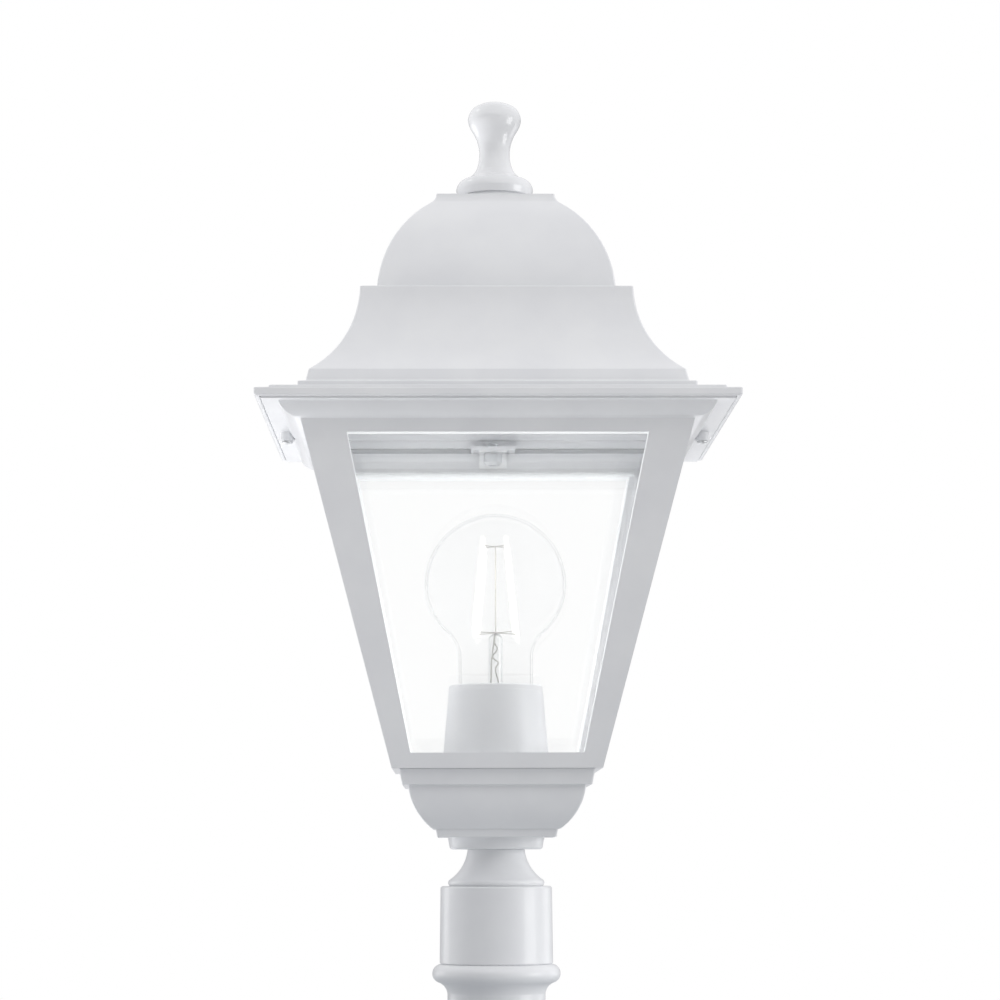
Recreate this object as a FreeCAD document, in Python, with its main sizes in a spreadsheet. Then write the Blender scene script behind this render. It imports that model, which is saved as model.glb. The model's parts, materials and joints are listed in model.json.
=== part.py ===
import FreeCAD, Part
import Sketcher
import math
import os
import re
from FreeCAD import Placement, Rotation, Vector

# A white post top lantern: square tapered frame with four clear panes, domed roof with a
# turned finial, bowl, collar and a bead ring that goes over the post. Millimetres, +Z up,
# front towards -Y. The origin is the centre of the socket's mouth, where the post enters.

doc = FreeCAD.newDocument("post_top_lantern")
sheet = doc.addObject("Spreadsheet::Sheet", "Sizes")

# Driving sizes. "half" is half the width across two flat sides, "base" is the lower end.
sizes = [
    # post ring
    ("post_tube_radius", 17.5, "35 mm post tube"),
    ("post_clearance", 0.25, "between the post tube and its socket"),
    ("socket_depth", 36.0, "how far the post tube goes in"),
    ("skirt_radius", 20.5, "outside of the socket"),
    ("skirt_height", 30.0, "straight part of the socket"),
    ("ring_cove_radius", 5.6, "hollow under the bead"),
    ("ring_cove_height", 4.9, "hollow under the bead"),
    ("ring_cove_half", 24.4, "radius where the hollow meets the bead"),
    ("ring_bead_height", 7.5, "bead ring"),
    ("ring_bead_radius", 3.9, "roundness of the bead ring"),
    ("ring_seat_radius", 23.4, "flat top of the bead ring"),
    ("spigot_height", 18.0, "what stands up into the collar"),
    ("cable_way_radius", 12.0, "hole for the supply cable"),
    # collar
    ("collar_bore", 21.0, "inside of the sleeve"),
    ("spigot_clearance", 0.3, "between spigot and sleeve"),
    ("sleeve_base_radius", 23.75, "sleeve at its foot"),
    ("sleeve_top_radius", 23.4, "sleeve at its top"),
    ("sleeve_height", 32.3, "straight sleeve"),
    ("sleeve_cavity", 18.5, "inside above the spigot"),
    ("collar_bead_height", 2.8, "small bead over the sleeve"),
    ("collar_bead_round", 1.6, "roundness of the small bead"),
    ("neck_base_radius", 19.4, "foot of the hollow neck"),
    ("neck_top_radius", 12.0, "top of the hollow neck"),
    ("neck_cove_radius", 17.2, "hollow of the neck"),
    ("neck_height", 12.5, "hollow neck"),
    ("neck_cavity", 9.0, "room for the lower tube nut"),
    ("neck_web", 3.0, "web that the tube passes through"),
    ("edge", 0.6, "broken edge of turned castings"),
    # bowl
    ("disc_base_radius", 19.6, "round disc under the bowl"),
    ("disc_top_radius", 20.3, "round disc under the bowl"),
    ("disc_height", 5.0, "round disc under the bowl"),
    ("disc_round", 1.2, "rounded lower edge of the disc"),
    ("step_base_half", 24.6, "lower square step"),
    ("step_top_half", 25.3, "lower square step"),
    ("step_height", 3.4, "lower square step"),
    ("side_base_half", 26.4, "foot of the rounded side"),
    ("side_top_half", 36.5, "top of the rounded side"),
    ("side_radius", 25.0, "roundness of the side"),
    ("side_height", 17.8, "rounded side"),
    ("tier_base_half", 38.9, "upper square tier"),
    ("tier_top_half", 40.2, "upper square tier"),
    ("tier_height", 6.6, "upper square tier"),
    ("bowl_wall", 2.2, "wall of the bowl"),
    ("boss_spread", 29.0, "frame screws from the middle, both ways"),
    ("boss_radius", 4.5, "screw posts in the bowl"),
    ("boss_height", 13.0, "screw posts in the bowl"),
    # frame
    ("frame_base_half", 43.1, "outside at the foot"),
    ("eaves_reach", 15.75, "rim beyond the line of the frame's wall"),
    ("frame_height", 146.1, "foot to flange top"),
    ("frame_wall", 2.6, "thickness of wall and floor"),
    ("flange_thickness", 1.7, "top flange"),
    ("moulding_height", 5.8, "quarter-round under the flange"),
    ("moulding_reach", 6.45, "quarter-round at the flange beyond the wall's line"),
    ("moulding_radius", 9.5, "quarter-round"),
    ("moulding_step", 0.3, "quarter-round stands proud of the wall"),
    ("sill_height", 6.2, "foot to the window's lower edge"),
    ("head_depth", 12.7, "flange top to the window's upper edge"),
    ("post_foot_width", 9.21, "corner post beside the window's lower edge"),
    ("post_head_width", 17.05, "corner post beside the window's upper edge"),
    ("guide_wall", 1.4, "rib that keeps a pane's edge in"),
    ("guide_reveal", 0.8, "rib set back behind the post's edge"),
    ("guide_drop", 4.0, "rib ends below the pane's upper edge"),
    ("web_thickness", 1.6, "web that carries the ribs in a corner"),
    # panes
    ("pane_thickness", 2.5, "clear glass"),
    ("pane_clearance", 0.3, "between pane and rib"),
    ("pane_edge_gap", 0.3, "between pane edge and corner web"),
    ("pane_drop", 7.6, "flange top to the pane's upper edge"),
    # pane stops
    ("lug_half", 10.0, "cast lug over each window"),
    ("lug_thickness", 1.6, "cast lug"),
    ("lug_edge", 4.2, "screw to the lug's inner end"),
    ("lug_gap", 0.5, "between lug and seal"),
    ("stop_half", 6.3, "bent strip over each pane"),
    ("stop_thickness", 0.8, "bent strip"),
    ("stop_edge", 3.5, "screw to the strip's inner end"),
    ("stop_clearance", 0.3, "round the strip's upright leg"),
    ("stop_gap", 0.3, "strip's lower edge over the pane"),
    ("stop_screw_radius", 2.3, "shank, 5 mm thread"),
    ("stop_screw_tip", 2.2, "end that shows over the lug"),
    ("stop_screw_head", 4.1, "head and washer radius"),
    ("stop_screw_head_height", 5.0, "head"),
    ("stop_screw_chamfer", 1.3, "lower edge of the head"),
    ("stop_washer_thickness", 0.8, "washer over the head"),
    ("hole_clearance", 0.25, "round a screw in its hole"),
    # roof
    ("roof_wall", 2.0, "thickness of the roof"),
    ("rim_half", 96.8, "outside of the rim"),
    ("rim_height", 3.4, "face of the rim"),
    ("rim_lip", 2.3, "thickness of the rim's lip"),
    ("rim_ceiling", 1.8, "thickness over the flange"),
    ("rim_overlap", 1.0, "rim hangs below the flange top"),
    ("rim_gap", 0.3, "between flange and rim"),
    ("step_two_inset", 5.6, "lower, wider step inside the rim"),
    ("step_one_inset", 16.5, "upper step inside the rim"),
    ("step_one_height", 3.5, "upper step"),
    ("band_inset", 3.3, "plain band inside the upper step"),
    ("band_lean", 0.9, "how far the band leans in"),
    ("band_cove", 1.6, "small hollow at the band's foot"),
    ("band_height", 5.4, "plain band"),
    ("flare_share", 0.7385, "hollow skirt at the ledge, as a share of the band's top"),
    ("flare_height", 38.0, "hollow skirt"),
    ("flare_radius", 48.7, "hollow skirt"),
    ("ledge_width", 6.7, "flat ledge between skirt and dome"),
    ("dome_share", 0.5414, "dome under the top tier, as a share of its foot"),
    ("dome_height", 41.8, "dome"),
    ("dome_radius", 56.9, "dome"),
    ("tier_lean", 1.8, "how far the top tier leans in"),
    ("tier_hollow", 6.0, "hollow side of the top tier"),
    ("top_tier_height", 3.9, "top tier"),
    ("crown_base_radius", 15.5, "round seat under the finial"),
    ("crown_top_radius", 14.5, "round seat under the finial"),
    ("crown_height", 3.7, "round seat under the finial"),
    ("seal_thickness", 2.2, "seal between frame and roof"),
    ("seal_margin", 2.0, "seal inside the edge of its seat"),
    ("seal_gap", 0.6, "between seal and screw boss"),
    ("roof_screw_edge", 5.6, "screw to the flange's edge"),
    ("roof_screw_radius", 1.5, "3 mm thread"),
    ("roof_screw_reach", 8.5, "shank, from under its boss"),
    ("roof_screw_head", 2.3, "head radius"),
    ("roof_screw_head_height", 1.2, "head"),
    ("roof_boss_radius", 3.0, "boss under the flange"),
    ("roof_boss_height", 3.8, "boss under the flange"),
    ("roof_post_radius", 3.3, "boss inside the roof"),
    ("roof_gap", 0.3, "roof boss over the flange"),
    # finial
    ("foot_radius", 16.6, "widest part of the foot"),
    ("foot_base_radius", 15.9, "underside of the foot"),
    ("foot_side_height", 2.9, "underside to the widest part"),
    ("foot_top_radius", 13.9, "where the foot turns in"),
    ("foot_height", 7.3, "foot"),
    ("foot_round", 5.0, "rounded shoulder of the foot"),
    ("stem_base_radius", 7.9, "foot of the stem"),
    ("stem_base_height", 12.2, "foot of the stem"),
    ("stem_cove_radius", 9.3, "hollow between foot and stem"),
    ("stem_top_radius", 9.8, "stem under the knob"),
    ("stem_top_height", 29.5, "stem under the knob"),
    ("stem_waist_radius", 18.4, "hollow of the stem's outline"),
    ("knob_radius", 11.5, "widest part of the knob"),
    ("knob_height", 34.0, "level of the widest part"),
    ("knob_under_radius", 12.0, "roundness under the knob"),
    ("knob_side_radius", 7.2, "roundness of the knob's side"),
    ("knob_shoulder_radius", 7.6, "where the crown starts"),
    ("knob_shoulder_height", 40.4, "where the crown starts"),
    ("finial_height", 42.1, "foot to crown"),
    ("stud_radius", 3.0, "6 mm stud"),
    ("stud_depth", 14.0, "stud inside the finial"),
    ("stud_clearance", 0.05, "stud in the finial"),
    ("stud_tail", 3.0, "stud below its nut"),
    ("finial_nut_flats", 10.0, "nut across flats"),
    ("finial_nut_height", 5.0, "nut"),
    ("finial_washer_radius", 8.0, "washer"),
    ("finial_washer_thickness", 1.2, "washer"),
    # threaded tube
    ("tube_radius", 4.9, "10 mm thread"),
    ("tube_bore", 3.6, "way for the wires"),
    ("tube_clearance", 0.3, "round the tube"),
    ("tube_tail", 2.0, "tube below its lower nut"),
    ("tube_nut_flats", 14.0, "nut across flats"),
    ("tube_nut_height", 3.5, "nut"),
    ("tube_washer_radius", 8.2, "washer"),
    ("tube_washer_thickness", 1.0, "washer"),
    # lampholder
    ("holder_base", 10.8, "holder's foot over the bowl's floor"),
    ("holder_base_radius", 24.0, "sleeve at its foot"),
    ("holder_top_radius", 19.7, "sleeve at its mouth"),
    ("holder_height", 50.9, "sleeve"),
    ("holder_wall", 1.6, "sleeve"),
    ("mouth_radius", 17.4, "inside of the mouth's lip"),
    ("mouth_lip", 1.8, "thickness of the lip"),
    ("holder_clearance", 0.6, "sleeve in the frame's floor"),
    ("holder_disc_gap", 0.2, "base disc inside the sleeve"),
    ("holder_disc", 3.0, "base disc"),
    ("holder_post_height", 9.0, "ring that carries the insert"),
    ("holder_post_outer", 17.0, "ring that carries the insert"),
    ("holder_post_inner", 14.0, "ring that carries the insert"),
    ("nipple_radius", 8.0, "threaded boss of the base"),
    ("nipple_height", 8.0, "threaded boss of the base"),
    ("insert_radius", 17.2, "porcelain insert"),
    ("insert_height", 35.0, "porcelain insert"),
    ("insert_floor", 5.0, "floor of the porcelain insert"),
    ("shell_height", 22.0, "screw shell"),
    ("shell_lift", 4.0, "screw shell over the insert's floor"),
    ("shell_wall", 0.5, "screw shell"),
    ("shell_gap", 0.1, "screw shell in the insert"),
    ("tongue_half", 3.0, "centre contact"),
    ("tongue_thickness", 0.6, "centre contact"),
    ("tongue_reach", 8.0, "centre contact"),
    # bulb
    ("cap_radius", 13.1, "E27 cap"),
    ("cap_clearance", 0.35, "cap in the screw shell"),
    ("cap_height", 22.5, "cap"),
    ("cap_wall", 0.4, "cap"),
    ("cap_lip", 10.4, "hole in the cap's foot"),
    ("insulator_height", 3.8, "glass insulator"),
    ("insulator_tip", 5.2, "insulator at the contact"),
    ("contact_radius", 4.8, "centre contact"),
    ("contact_height", 1.3, "centre contact"),
    ("contact_gap", 0.3, "contact over the tongue"),
    ("bulb_radius", 30.0, "A60 envelope"),
    ("bulb_length", 105.5, "contact to crown"),
    ("bulb_lower_radius", 26.8, "roundness of the lower half"),
    ("bulb_waist_radius", 20.6, "where the lower half ends"),
    ("bulb_waist_drop", 20.4, "below the widest part"),
    ("bulb_neck_radius", 15.7, "neck"),
    ("bulb_neck_drop", 31.0, "below the widest part"),
    ("bulb_neck_rise", 5.0, "cap to the straight neck"),
    ("bulb_neck_round", 14.2, "hollow between waist and neck"),
    ("bulb_seat_radius", 12.5, "glass inside the cap"),
    ("bulb_seat_overlap", 6.0, "glass inside the cap"),
    ("bulb_wall", 0.8, "glass"),
    ("stem_gap", 0.3, "foot of the glass stem inside the neck"),
    ("stem_tube", 3.0, "glass stem"),
    ("stem_flare_height", 9.0, "flared part of the stem"),
    ("stem_length", 33.0, "glass stem"),
    ("filament_radius", 0.9, "LED filament"),
    ("filament_foot_ring", 12.0, "filaments' lower ends"),
    ("filament_head_ring", 7.0, "filaments' upper ends"),
    ("filament_foot_drop", 20.6, "lower ends below the widest part"),
    ("filament_head_rise", 16.2, "upper ends above the widest part"),
    ("wire_radius", 0.3, "lead and support wires"),
    # terminal block and wires
    ("block_half", 14.0, "terminal block, half length"),
    ("block_depth", 9.5, "terminal block"),
    ("block_height", 6.5, "terminal block"),
    ("block_place", 10.5, "block's front face behind the middle"),
    ("lead_place", 5.0, "leads left and right of the middle"),
    ("lead_radius", 1.1, "insulated lead"),
    ("lead_hole", 1.5, "hole in the holder's base"),
    ("block_screw_radius", 1.6, "terminal screws"),
    ("block_screw_height", 1.0, "terminal screws"),
    ("block_screw_spread", 10.0, "terminal screws from the middle"),
    # small fasteners
    ("frame_screw_radius", 2.0, "4 mm thread"),
    ("frame_screw_length", 10.0, "shank"),
    ("frame_screw_head", 3.6, "head radius"),
    ("frame_screw_head_height", 2.4, "head"),
    ("grub_radius", 2.5, "5 mm grub screw"),
    ("grub_clearance", 0.05, "grub screw in its thread"),
    ("collar_grub_height", 9.0, "above the sleeve's foot"),
    ("post_grub_height", 12.0, "above the socket's mouth"),
    ("grub_inset", 0.3, "grub screw ends inside the wall"),
]

# Levels and places that follow from the driving sizes.
places = [
    ("socket_radius", "post_tube_radius + post_clearance"),
    ("spigot_radius", "collar_bore - spigot_clearance"),
    ("ring_top", "skirt_height + ring_cove_height + ring_bead_height"),
    ("spigot_top", "ring_top + spigot_height"),
    ("sleeve_top", "ring_top + sleeve_height"),
    ("neck_base", "sleeve_top + collar_bead_height"),
    ("collar_top", "neck_base + neck_height"),
    ("disc_top", "collar_top + disc_height"),
    ("bowl_floor", "disc_top + bowl_wall"),
    ("step_top", "disc_top + step_height"),
    ("side_top", "step_top + side_height"),
    ("bowl_top", "side_top + tier_height"),
    ("frame_floor", "bowl_top + frame_wall"),
    ("frame_top", "bowl_top + frame_height"),
    ("frame_top_half", "rim_half - eaves_reach"),
    ("frame_slope", "(frame_top_half - frame_base_half) / frame_height"),
    ("slant", "sqrt(1 + frame_slope ^ 2)"),
    ("wall_across", "frame_wall * slant"),
    ("flange_base", "frame_top - flange_thickness"),
    ("moulding_base", "flange_base - moulding_height"),
    ("moulding_foot", "frame_top_half - (frame_top - moulding_base) * frame_slope"),
    ("moulding_half", "frame_top_half + moulding_reach"),
    ("flange_half", "rim_half - rim_lip - rim_gap"),
    ("sill", "bowl_top + sill_height"),
    ("head", "frame_top - head_depth"),
    ("window_base_half", "frame_base_half + sill_height * frame_slope - post_foot_width"),
    ("window_top_half", "frame_top_half - head_depth * frame_slope - post_head_width"),
    ("window_slope", "(window_top_half - window_base_half) / (head - sill)"),
    ("pane_top", "frame_top - pane_drop"),
    ("pane_across", "pane_thickness * slant"),
    ("guide_outer", "(pane_thickness + pane_clearance) * slant"),
    ("guide_inner", "guide_outer + guide_wall * slant"),
    ("guide_top", "pane_top - guide_drop"),
    ("pane_inset", "guide_outer + web_thickness * sqrt(2) / 2 + pane_edge_gap"),
    ("lug_top", "frame_top + lug_thickness"),
    ("stop_back", "frame_top_half - pane_drop * frame_slope - wall_across - stop_clearance"),
    ("stop_screw_place", "stop_back - stop_thickness - stop_clearance - stop_screw_head"),
    ("stop_tip", "stop_screw_place - stop_edge"),
    ("lug_tip", "stop_screw_place - lug_edge"),
    ("strip_base", "frame_top - stop_thickness"),
    ("washer_base", "strip_base - stop_washer_thickness"),
    ("roof_seat", "frame_top + seal_thickness"),
    ("step_two_top", "roof_seat + roof_wall"),
    ("step_two_half", "rim_half - step_two_inset"),
    ("step_one_half", "rim_half - step_one_inset"),
    ("band_base_half", "step_one_half - band_inset"),
    ("band_top_half", "band_base_half - band_lean"),
    ("flare_top_half", "band_top_half * flare_share"),
    ("dome_half", "flare_top_half - ledge_width"),
    ("dome_top_half", "dome_half * dome_share"),
    ("top_tier_half", "dome_top_half - tier_lean"),
    ("seal_inner_half", "step_one_half - roof_wall + seal_margin"),
    ("lug_root", "seal_inner_half - lug_gap"),
    ("roof_screw_place", "flange_half - roof_screw_edge"),
    ("seal_outer_half", "roof_screw_place - roof_post_radius - seal_gap"),
    ("rim_base", "frame_top - rim_overlap"),
    ("rim_top", "rim_base + rim_height"),
    ("step_one_top", "step_two_top + step_one_height"),
    ("band_top", "step_one_top + band_height"),
    ("ledge", "band_top + flare_height"),
    ("dome_top", "ledge + dome_height"),
    ("tier_top", "dome_top + top_tier_height"),
    ("crown_top", "tier_top + crown_height"),
    ("reach", "3 * rim_half"),
    ("boss_foot", "flange_base - roof_boss_height"),
    ("finial_washer_base", "tier_top - roof_wall - finial_washer_thickness"),
    ("finial_nut_base", "finial_washer_base - finial_nut_height"),
    ("stud_foot", "finial_nut_base - stud_tail"),
    ("crown_rise", "finial_height - knob_shoulder_height"),
    ("knob_crown_radius", "(knob_shoulder_radius ^ 2 + crown_rise ^ 2) / (2 * crown_rise)"),
    ("tube_washer_top", "collar_top - neck_web"),
    ("lower_nut_base", "tube_washer_top - tube_washer_thickness - tube_nut_height"),
    ("tube_foot", "lower_nut_base - tube_tail"),
    ("holder_foot", "bowl_floor + holder_base"),
    ("holder_top", "holder_foot + holder_height"),
    ("holder_slope", "(holder_base_radius - holder_top_radius) / holder_height"),
    ("disc_level", "holder_foot + holder_disc"),
    ("insert_foot", "holder_foot + holder_post_height"),
    ("insert_level", "insert_foot + insert_floor"),
    ("shell_inner", "cap_radius + cap_clearance"),
    ("shell_outer", "shell_inner + shell_wall"),
    ("insert_bore", "shell_outer + shell_gap"),
    ("contact_level", "insert_level + shell_lift"),
    ("contact_base", "contact_level + contact_gap"),
    ("insulator_base", "contact_base + contact_height"),
    ("cap_base", "insulator_base + insulator_height"),
    ("cap_top", "cap_base + cap_height"),
    ("bulb_top", "contact_base + bulb_length"),
    ("bulb_middle", "bulb_top - bulb_radius"),
    ("bulb_seat", "cap_top - bulb_seat_overlap"),
    ("stem_flare", "bulb_seat_radius - bulb_wall - stem_gap"),
    ("stem_top", "bulb_seat + stem_length"),
    ("filament_foot", "bulb_middle - filament_foot_drop"),
    ("filament_head", "bulb_middle + filament_head_rise"),
]

row = 1
for alias, number, note in sizes:
    sheet.set(f"A{row}", alias)
    sheet.set(f"B{row}", str(number))
    sheet.set(f"C{row}", note)
    sheet.setAlias(f"B{row}", alias)
    row += 1
for alias, formula in places:
    sheet.set(f"A{row}", alias)
    sheet.set(f"B{row}", "=" + formula)
    sheet.setAlias(f"B{row}", alias)
    row += 1
doc.recompute()

word = re.compile(r"[a-z][a-z_]*")
nodes = []


def bound(formula):
    # every plain word in a formula is a named size, apart from the square root
    return word.sub(lambda found: found[0] if found[0] == "sqrt" else "Sizes." + found[0], formula)


def value(formula):
    number = sheet.evalExpression(bound(formula))
    return float(getattr(number, "Value", number))


def bind(thing, **formulas):
    for name, formula in formulas.items():
        thing.setExpression(name.replace("__", "."), bound(formula))


def put(thing, x="0", y="0", z="0"):
    for axis, formula in (("x", x), ("y", y), ("z", z)):
        if formula != "0":
            thing.setExpression("Placement.Base." + axis, bound(formula))


def node(thing):
    nodes.append(thing)
    return thing


# An outline is a list of corners (across, up). A corner with a radius and a side is
# reached by an arc with its centre on that side of the way there.

planes = {
    "XY": Rotation(),
    "XZ": Rotation(Vector(1, 0, 0), 90),
    "YZ": Rotation(Vector(1, 1, 1), 120),
}
whole = (-1, 1)     # the sketch's own origin, as a constraint names it


def edge_between(start, end, arc):
    # the edge, and which of its ends is the start and which the end
    if not arc:
        return Part.LineSegment(start, end), (1, 2)
    radius, side = value(arc[0]), arc[1]
    chord = end - start
    reach = math.sqrt(max(radius ** 2 - chord.Length ** 2 / 4, 0))
    across = Vector(-chord.y, chord.x, 0).normalize()
    centre = (start + end) / 2 + across * (reach if side == "left" else -reach)
    if side == "left":
        first, last, ends = start, end, (1, 2)
    else:
        first, last, ends = end, start, (2, 1)
    turns = [math.atan2(p.y - centre.y, p.x - centre.x) for p in (first, last)]
    if turns[1] < turns[0]:
        turns[1] += 2 * math.pi
    return Part.ArcOfCircle(Part.Circle(centre, Vector(0, 0, 1), radius), *turns), ends


def draw(sketch, corners):
    points = [Vector(value(corner[0]), value(corner[1]), 0) for corner in corners]
    count = sketch.GeometryCount
    edges = [edge_between(points[i - 1], points[i], corners[i][2:]) for i in range(len(corners))]
    sketch.addGeometry([edge for edge, ends in edges], False)
    rules, formulas = [], []
    for i, corner in enumerate(corners):
        this, after = count + i, count + (i + 1) % len(corners)
        end = edges[i][1][1]
        rules.append(Sketcher.Constraint("Coincident", this, end, after, edges[after - count][1][0]))
        formulas.append(None)
        for rule, number, formula in (("DistanceX", points[i].x, corner[0]),
                                      ("DistanceY", points[i].y, corner[1])):
            rules.append(Sketcher.Constraint(rule, *whole, this, end, number))
            formulas.append(formula)
        if corner[2:]:
            rules.append(Sketcher.Constraint("Radius", this, value(corner[2])))
            formulas.append(corner[2])
    first = sketch.ConstraintCount
    sketch.addConstraint(rules)
    for i, formula in enumerate(formulas):
        if formula:
            sketch.setExpression(f"Constraints[{first + i}]", bound(formula))


def sketch_in(body, name, plane, corners):
    sketch = body.newObject("Sketcher::SketchObject", name)
    support = [f for f in body.Origin.OriginFeatures if f.Role == plane + "_Plane"][0]
    sketch.AttachmentSupport = (support, [""])
    sketch.MapMode = "FlatFace"
    draw(sketch, corners)
    return sketch


def free_sketch(name, plane, corners):
    sketch = doc.addObject("Sketcher::SketchObject", name)
    sketch.Placement = Placement(Vector(), planes[plane])
    draw(sketch, corners)
    return sketch


def mirrored(corners):
    # the right half of an outline, from its lowest corner up, and its mirror image
    left = [("-(" + c[0] + ")", c[1]) for c in reversed(corners)]
    arcs = [()] + [c[2:] for c in reversed(corners[1:])]
    return list(corners) + [corner + arc for corner, arc in zip(left, arcs)]


# Solids

def turned(name, corners):
    body = doc.addObject("PartDesign::Body", name)
    profile = sketch_in(body, name + "_outline", "XZ", corners)
    turn = body.newObject("PartDesign::Revolution", name + "_turn")
    turn.Profile = profile
    turn.ReferenceAxis = (profile, ["V_Axis"])
    turn.Angle = 360
    return body


def pushed(name, plane, corners, length):
    push = doc.addObject("Part::Extrusion", name)
    push.Base = free_sketch(name + "_outline", plane, corners)
    push.DirMode = "Normal"
    push.Solid = True
    push.Symmetric = True
    bind(push, LengthFwd=length)
    return push


def common(name, base, tool):
    shared = doc.addObject("Part::Common", name)
    shared.Base, shared.Tool = base, tool
    return shared


def squared(name, corners):
    # one outline pushed both ways: what the two share has four like sides and mitred corners
    ways = [pushed(f"{name}_{plane}", plane, mirrored(corners), "reach") for plane in ("XZ", "YZ")]
    return common(name, *ways)


def cut(name, base, *tools):
    for i, tool in enumerate(tools):
        rest = doc.addObject("Part::Cut", name if i == len(tools) - 1 else f"{name}_cut_{i}")
        rest.Base, rest.Tool = base, tool
        base = rest
    return base


def fuse(name, *shapes):
    whole_thing = doc.addObject("Part::MultiFuse", name)
    whole_thing.Shapes = list(shapes)
    whole_thing.Refine = True
    return whole_thing


def rod(name, radius, height, x="0", y="0", z="0"):
    cylinder = doc.addObject("Part::Cylinder", name)
    bind(cylinder, Radius=radius, Height=height)
    put(cylinder, x, y, z)
    return cylinder


def taper(name, lower, upper, height, z="0", x="0", y="0"):
    cone = doc.addObject("Part::Cone", name)
    bind(cone, Radius1=lower, Radius2=upper, Height=height)
    put(cone, x, y, z)
    return cone


def block(name, length, width, height, x="0", y="0", z="0"):
    box = doc.addObject("Part::Box", name)
    bind(box, Length=length, Width=width, Height=height)
    put(box, x, y, z)
    return box


def hexagon(name, flats, height, z):
    prism = doc.addObject("Part::Prism", name)
    prism.Polygon = 6
    bind(prism, Circumradius=f"({flats}) / sqrt(3)", Height=height)
    put(prism, z=z)
    return prism


def compound(name, things):
    group = doc.addObject("Part::Compound", name)
    group.Links = list(things)
    return group


def turned_copy(name, thing, angle):
    copy = compound(name, [thing])
    copy.Placement = Placement(Vector(), Rotation(Vector(0, 0, 1), angle))
    return copy


def round_group(name, thing, angles):
    return compound(name, [turned_copy(f"{name}_{angle}", thing, angle) for angle in angles])


sides = {"front": 0, "right": 90, "back": 180, "left": 270}
quarter_turns = (0, 90, 180, 270)
two_sides = (90, 270)           # right and left
diagonals = (45, 135)           # across the corners, seen from above
filament_turns = (40, 130, 220, 310)


def lying(name, radius, start, end, level):
    # a rod that lies along -Y at a level, from start to end; turned copies go to the sides
    pin = doc.addObject("Part::Cylinder", name)
    bind(pin, Radius=radius, Height=f"({end}) - ({start})")
    pin.Placement = Placement(Vector(), Rotation(Vector(1, 0, 0), 90))
    put(pin, y=f"-({start})", z=level)
    return pin


# Post ring

def make_post_ring():
    ring = turned("ring_casting", [
        ("socket_radius", "0"),
        ("skirt_radius", "0"),
        ("skirt_radius", "skirt_height"),
        ("ring_cove_half", "skirt_height + ring_cove_height", "ring_cove_radius", "right"),
        ("ring_seat_radius", "ring_top", "ring_bead_radius", "left"),
        ("spigot_radius", "ring_top"),
        ("spigot_radius", "spigot_top - edge"),
        ("spigot_radius - edge", "spigot_top"),
        ("cable_way_radius", "spigot_top"),
        ("cable_way_radius", "socket_depth"),
        ("socket_radius", "socket_depth"),
    ])
    hole = lying("post_screw_hole", "grub_radius + grub_clearance", "cable_way_radius",
                 "skirt_radius + edge", "post_grub_height")
    holes = round_group("post_screw_holes", hole, two_sides)
    node(cut("post_ring", ring, holes))
    screw = lying("post_screw", "grub_radius", "socket_radius + grub_inset",
                  "skirt_radius - grub_inset", "post_grub_height")
    node(round_group("post_screws", screw, two_sides))


# Collar

def make_collar():
    casting = turned("collar_casting", [
        ("collar_bore", "ring_top"),
        ("sleeve_base_radius - edge", "ring_top"),
        ("sleeve_base_radius", "ring_top + edge"),
        ("sleeve_top_radius", "sleeve_top - edge"),
        ("sleeve_top_radius - edge", "sleeve_top"),
        ("neck_base_radius", "sleeve_top"),
        ("neck_base_radius", "neck_base", "collar_bead_round", "left"),
        ("neck_top_radius", "collar_top", "neck_cove_radius", "right"),
        ("tube_radius + tube_clearance", "collar_top"),
        ("tube_radius + tube_clearance", "tube_washer_top"),
        ("neck_cavity", "tube_washer_top"),
        ("neck_cavity", "neck_base"),
        ("sleeve_cavity", "sleeve_top - neck_web"),
        ("sleeve_cavity", "spigot_top + spigot_clearance"),
        ("collar_bore", "spigot_top + spigot_clearance"),
    ])
    level = "ring_top + collar_grub_height"
    hole = lying("collar_screw_hole", "grub_radius + grub_clearance", "sleeve_cavity",
                 "sleeve_base_radius + edge", level)
    node(cut("collar", casting, round_group("collar_screw_holes", hole, two_sides)))
    screw = lying("collar_screw", "grub_radius", "spigot_radius", "sleeve_top_radius - grub_inset", level)
    node(round_group("collar_screws", screw, two_sides))


# Threaded tube

def tube_nut(name, level):
    return cut(name, hexagon(name + "_hex", "tube_nut_flats", "tube_nut_height", level),
               rod(name + "_hole", "tube_radius + stud_clearance", "tube_nut_height", z=level))


def make_tube():
    length = "insert_foot - tube_clearance - tube_foot"
    node(cut("threaded_tube", rod("tube_outside", "tube_radius", length, z="tube_foot"),
             rod("tube_inside", "tube_bore", length, z="tube_foot")))
    node(compound("tube_nuts", [
        tube_nut("lower_nut", "lower_nut_base"),
        tube_nut("bowl_nut", "bowl_floor"),
        tube_nut("holder_nut", "holder_foot - tube_nut_height"),
    ]))
    level = "tube_washer_top - tube_washer_thickness"
    node(cut("tube_washer", rod("tube_washer_disc", "tube_washer_radius", "tube_washer_thickness", z=level),
             rod("tube_washer_hole", "tube_radius + tube_clearance", "tube_washer_thickness", z=level)))


# Bowl

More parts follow.
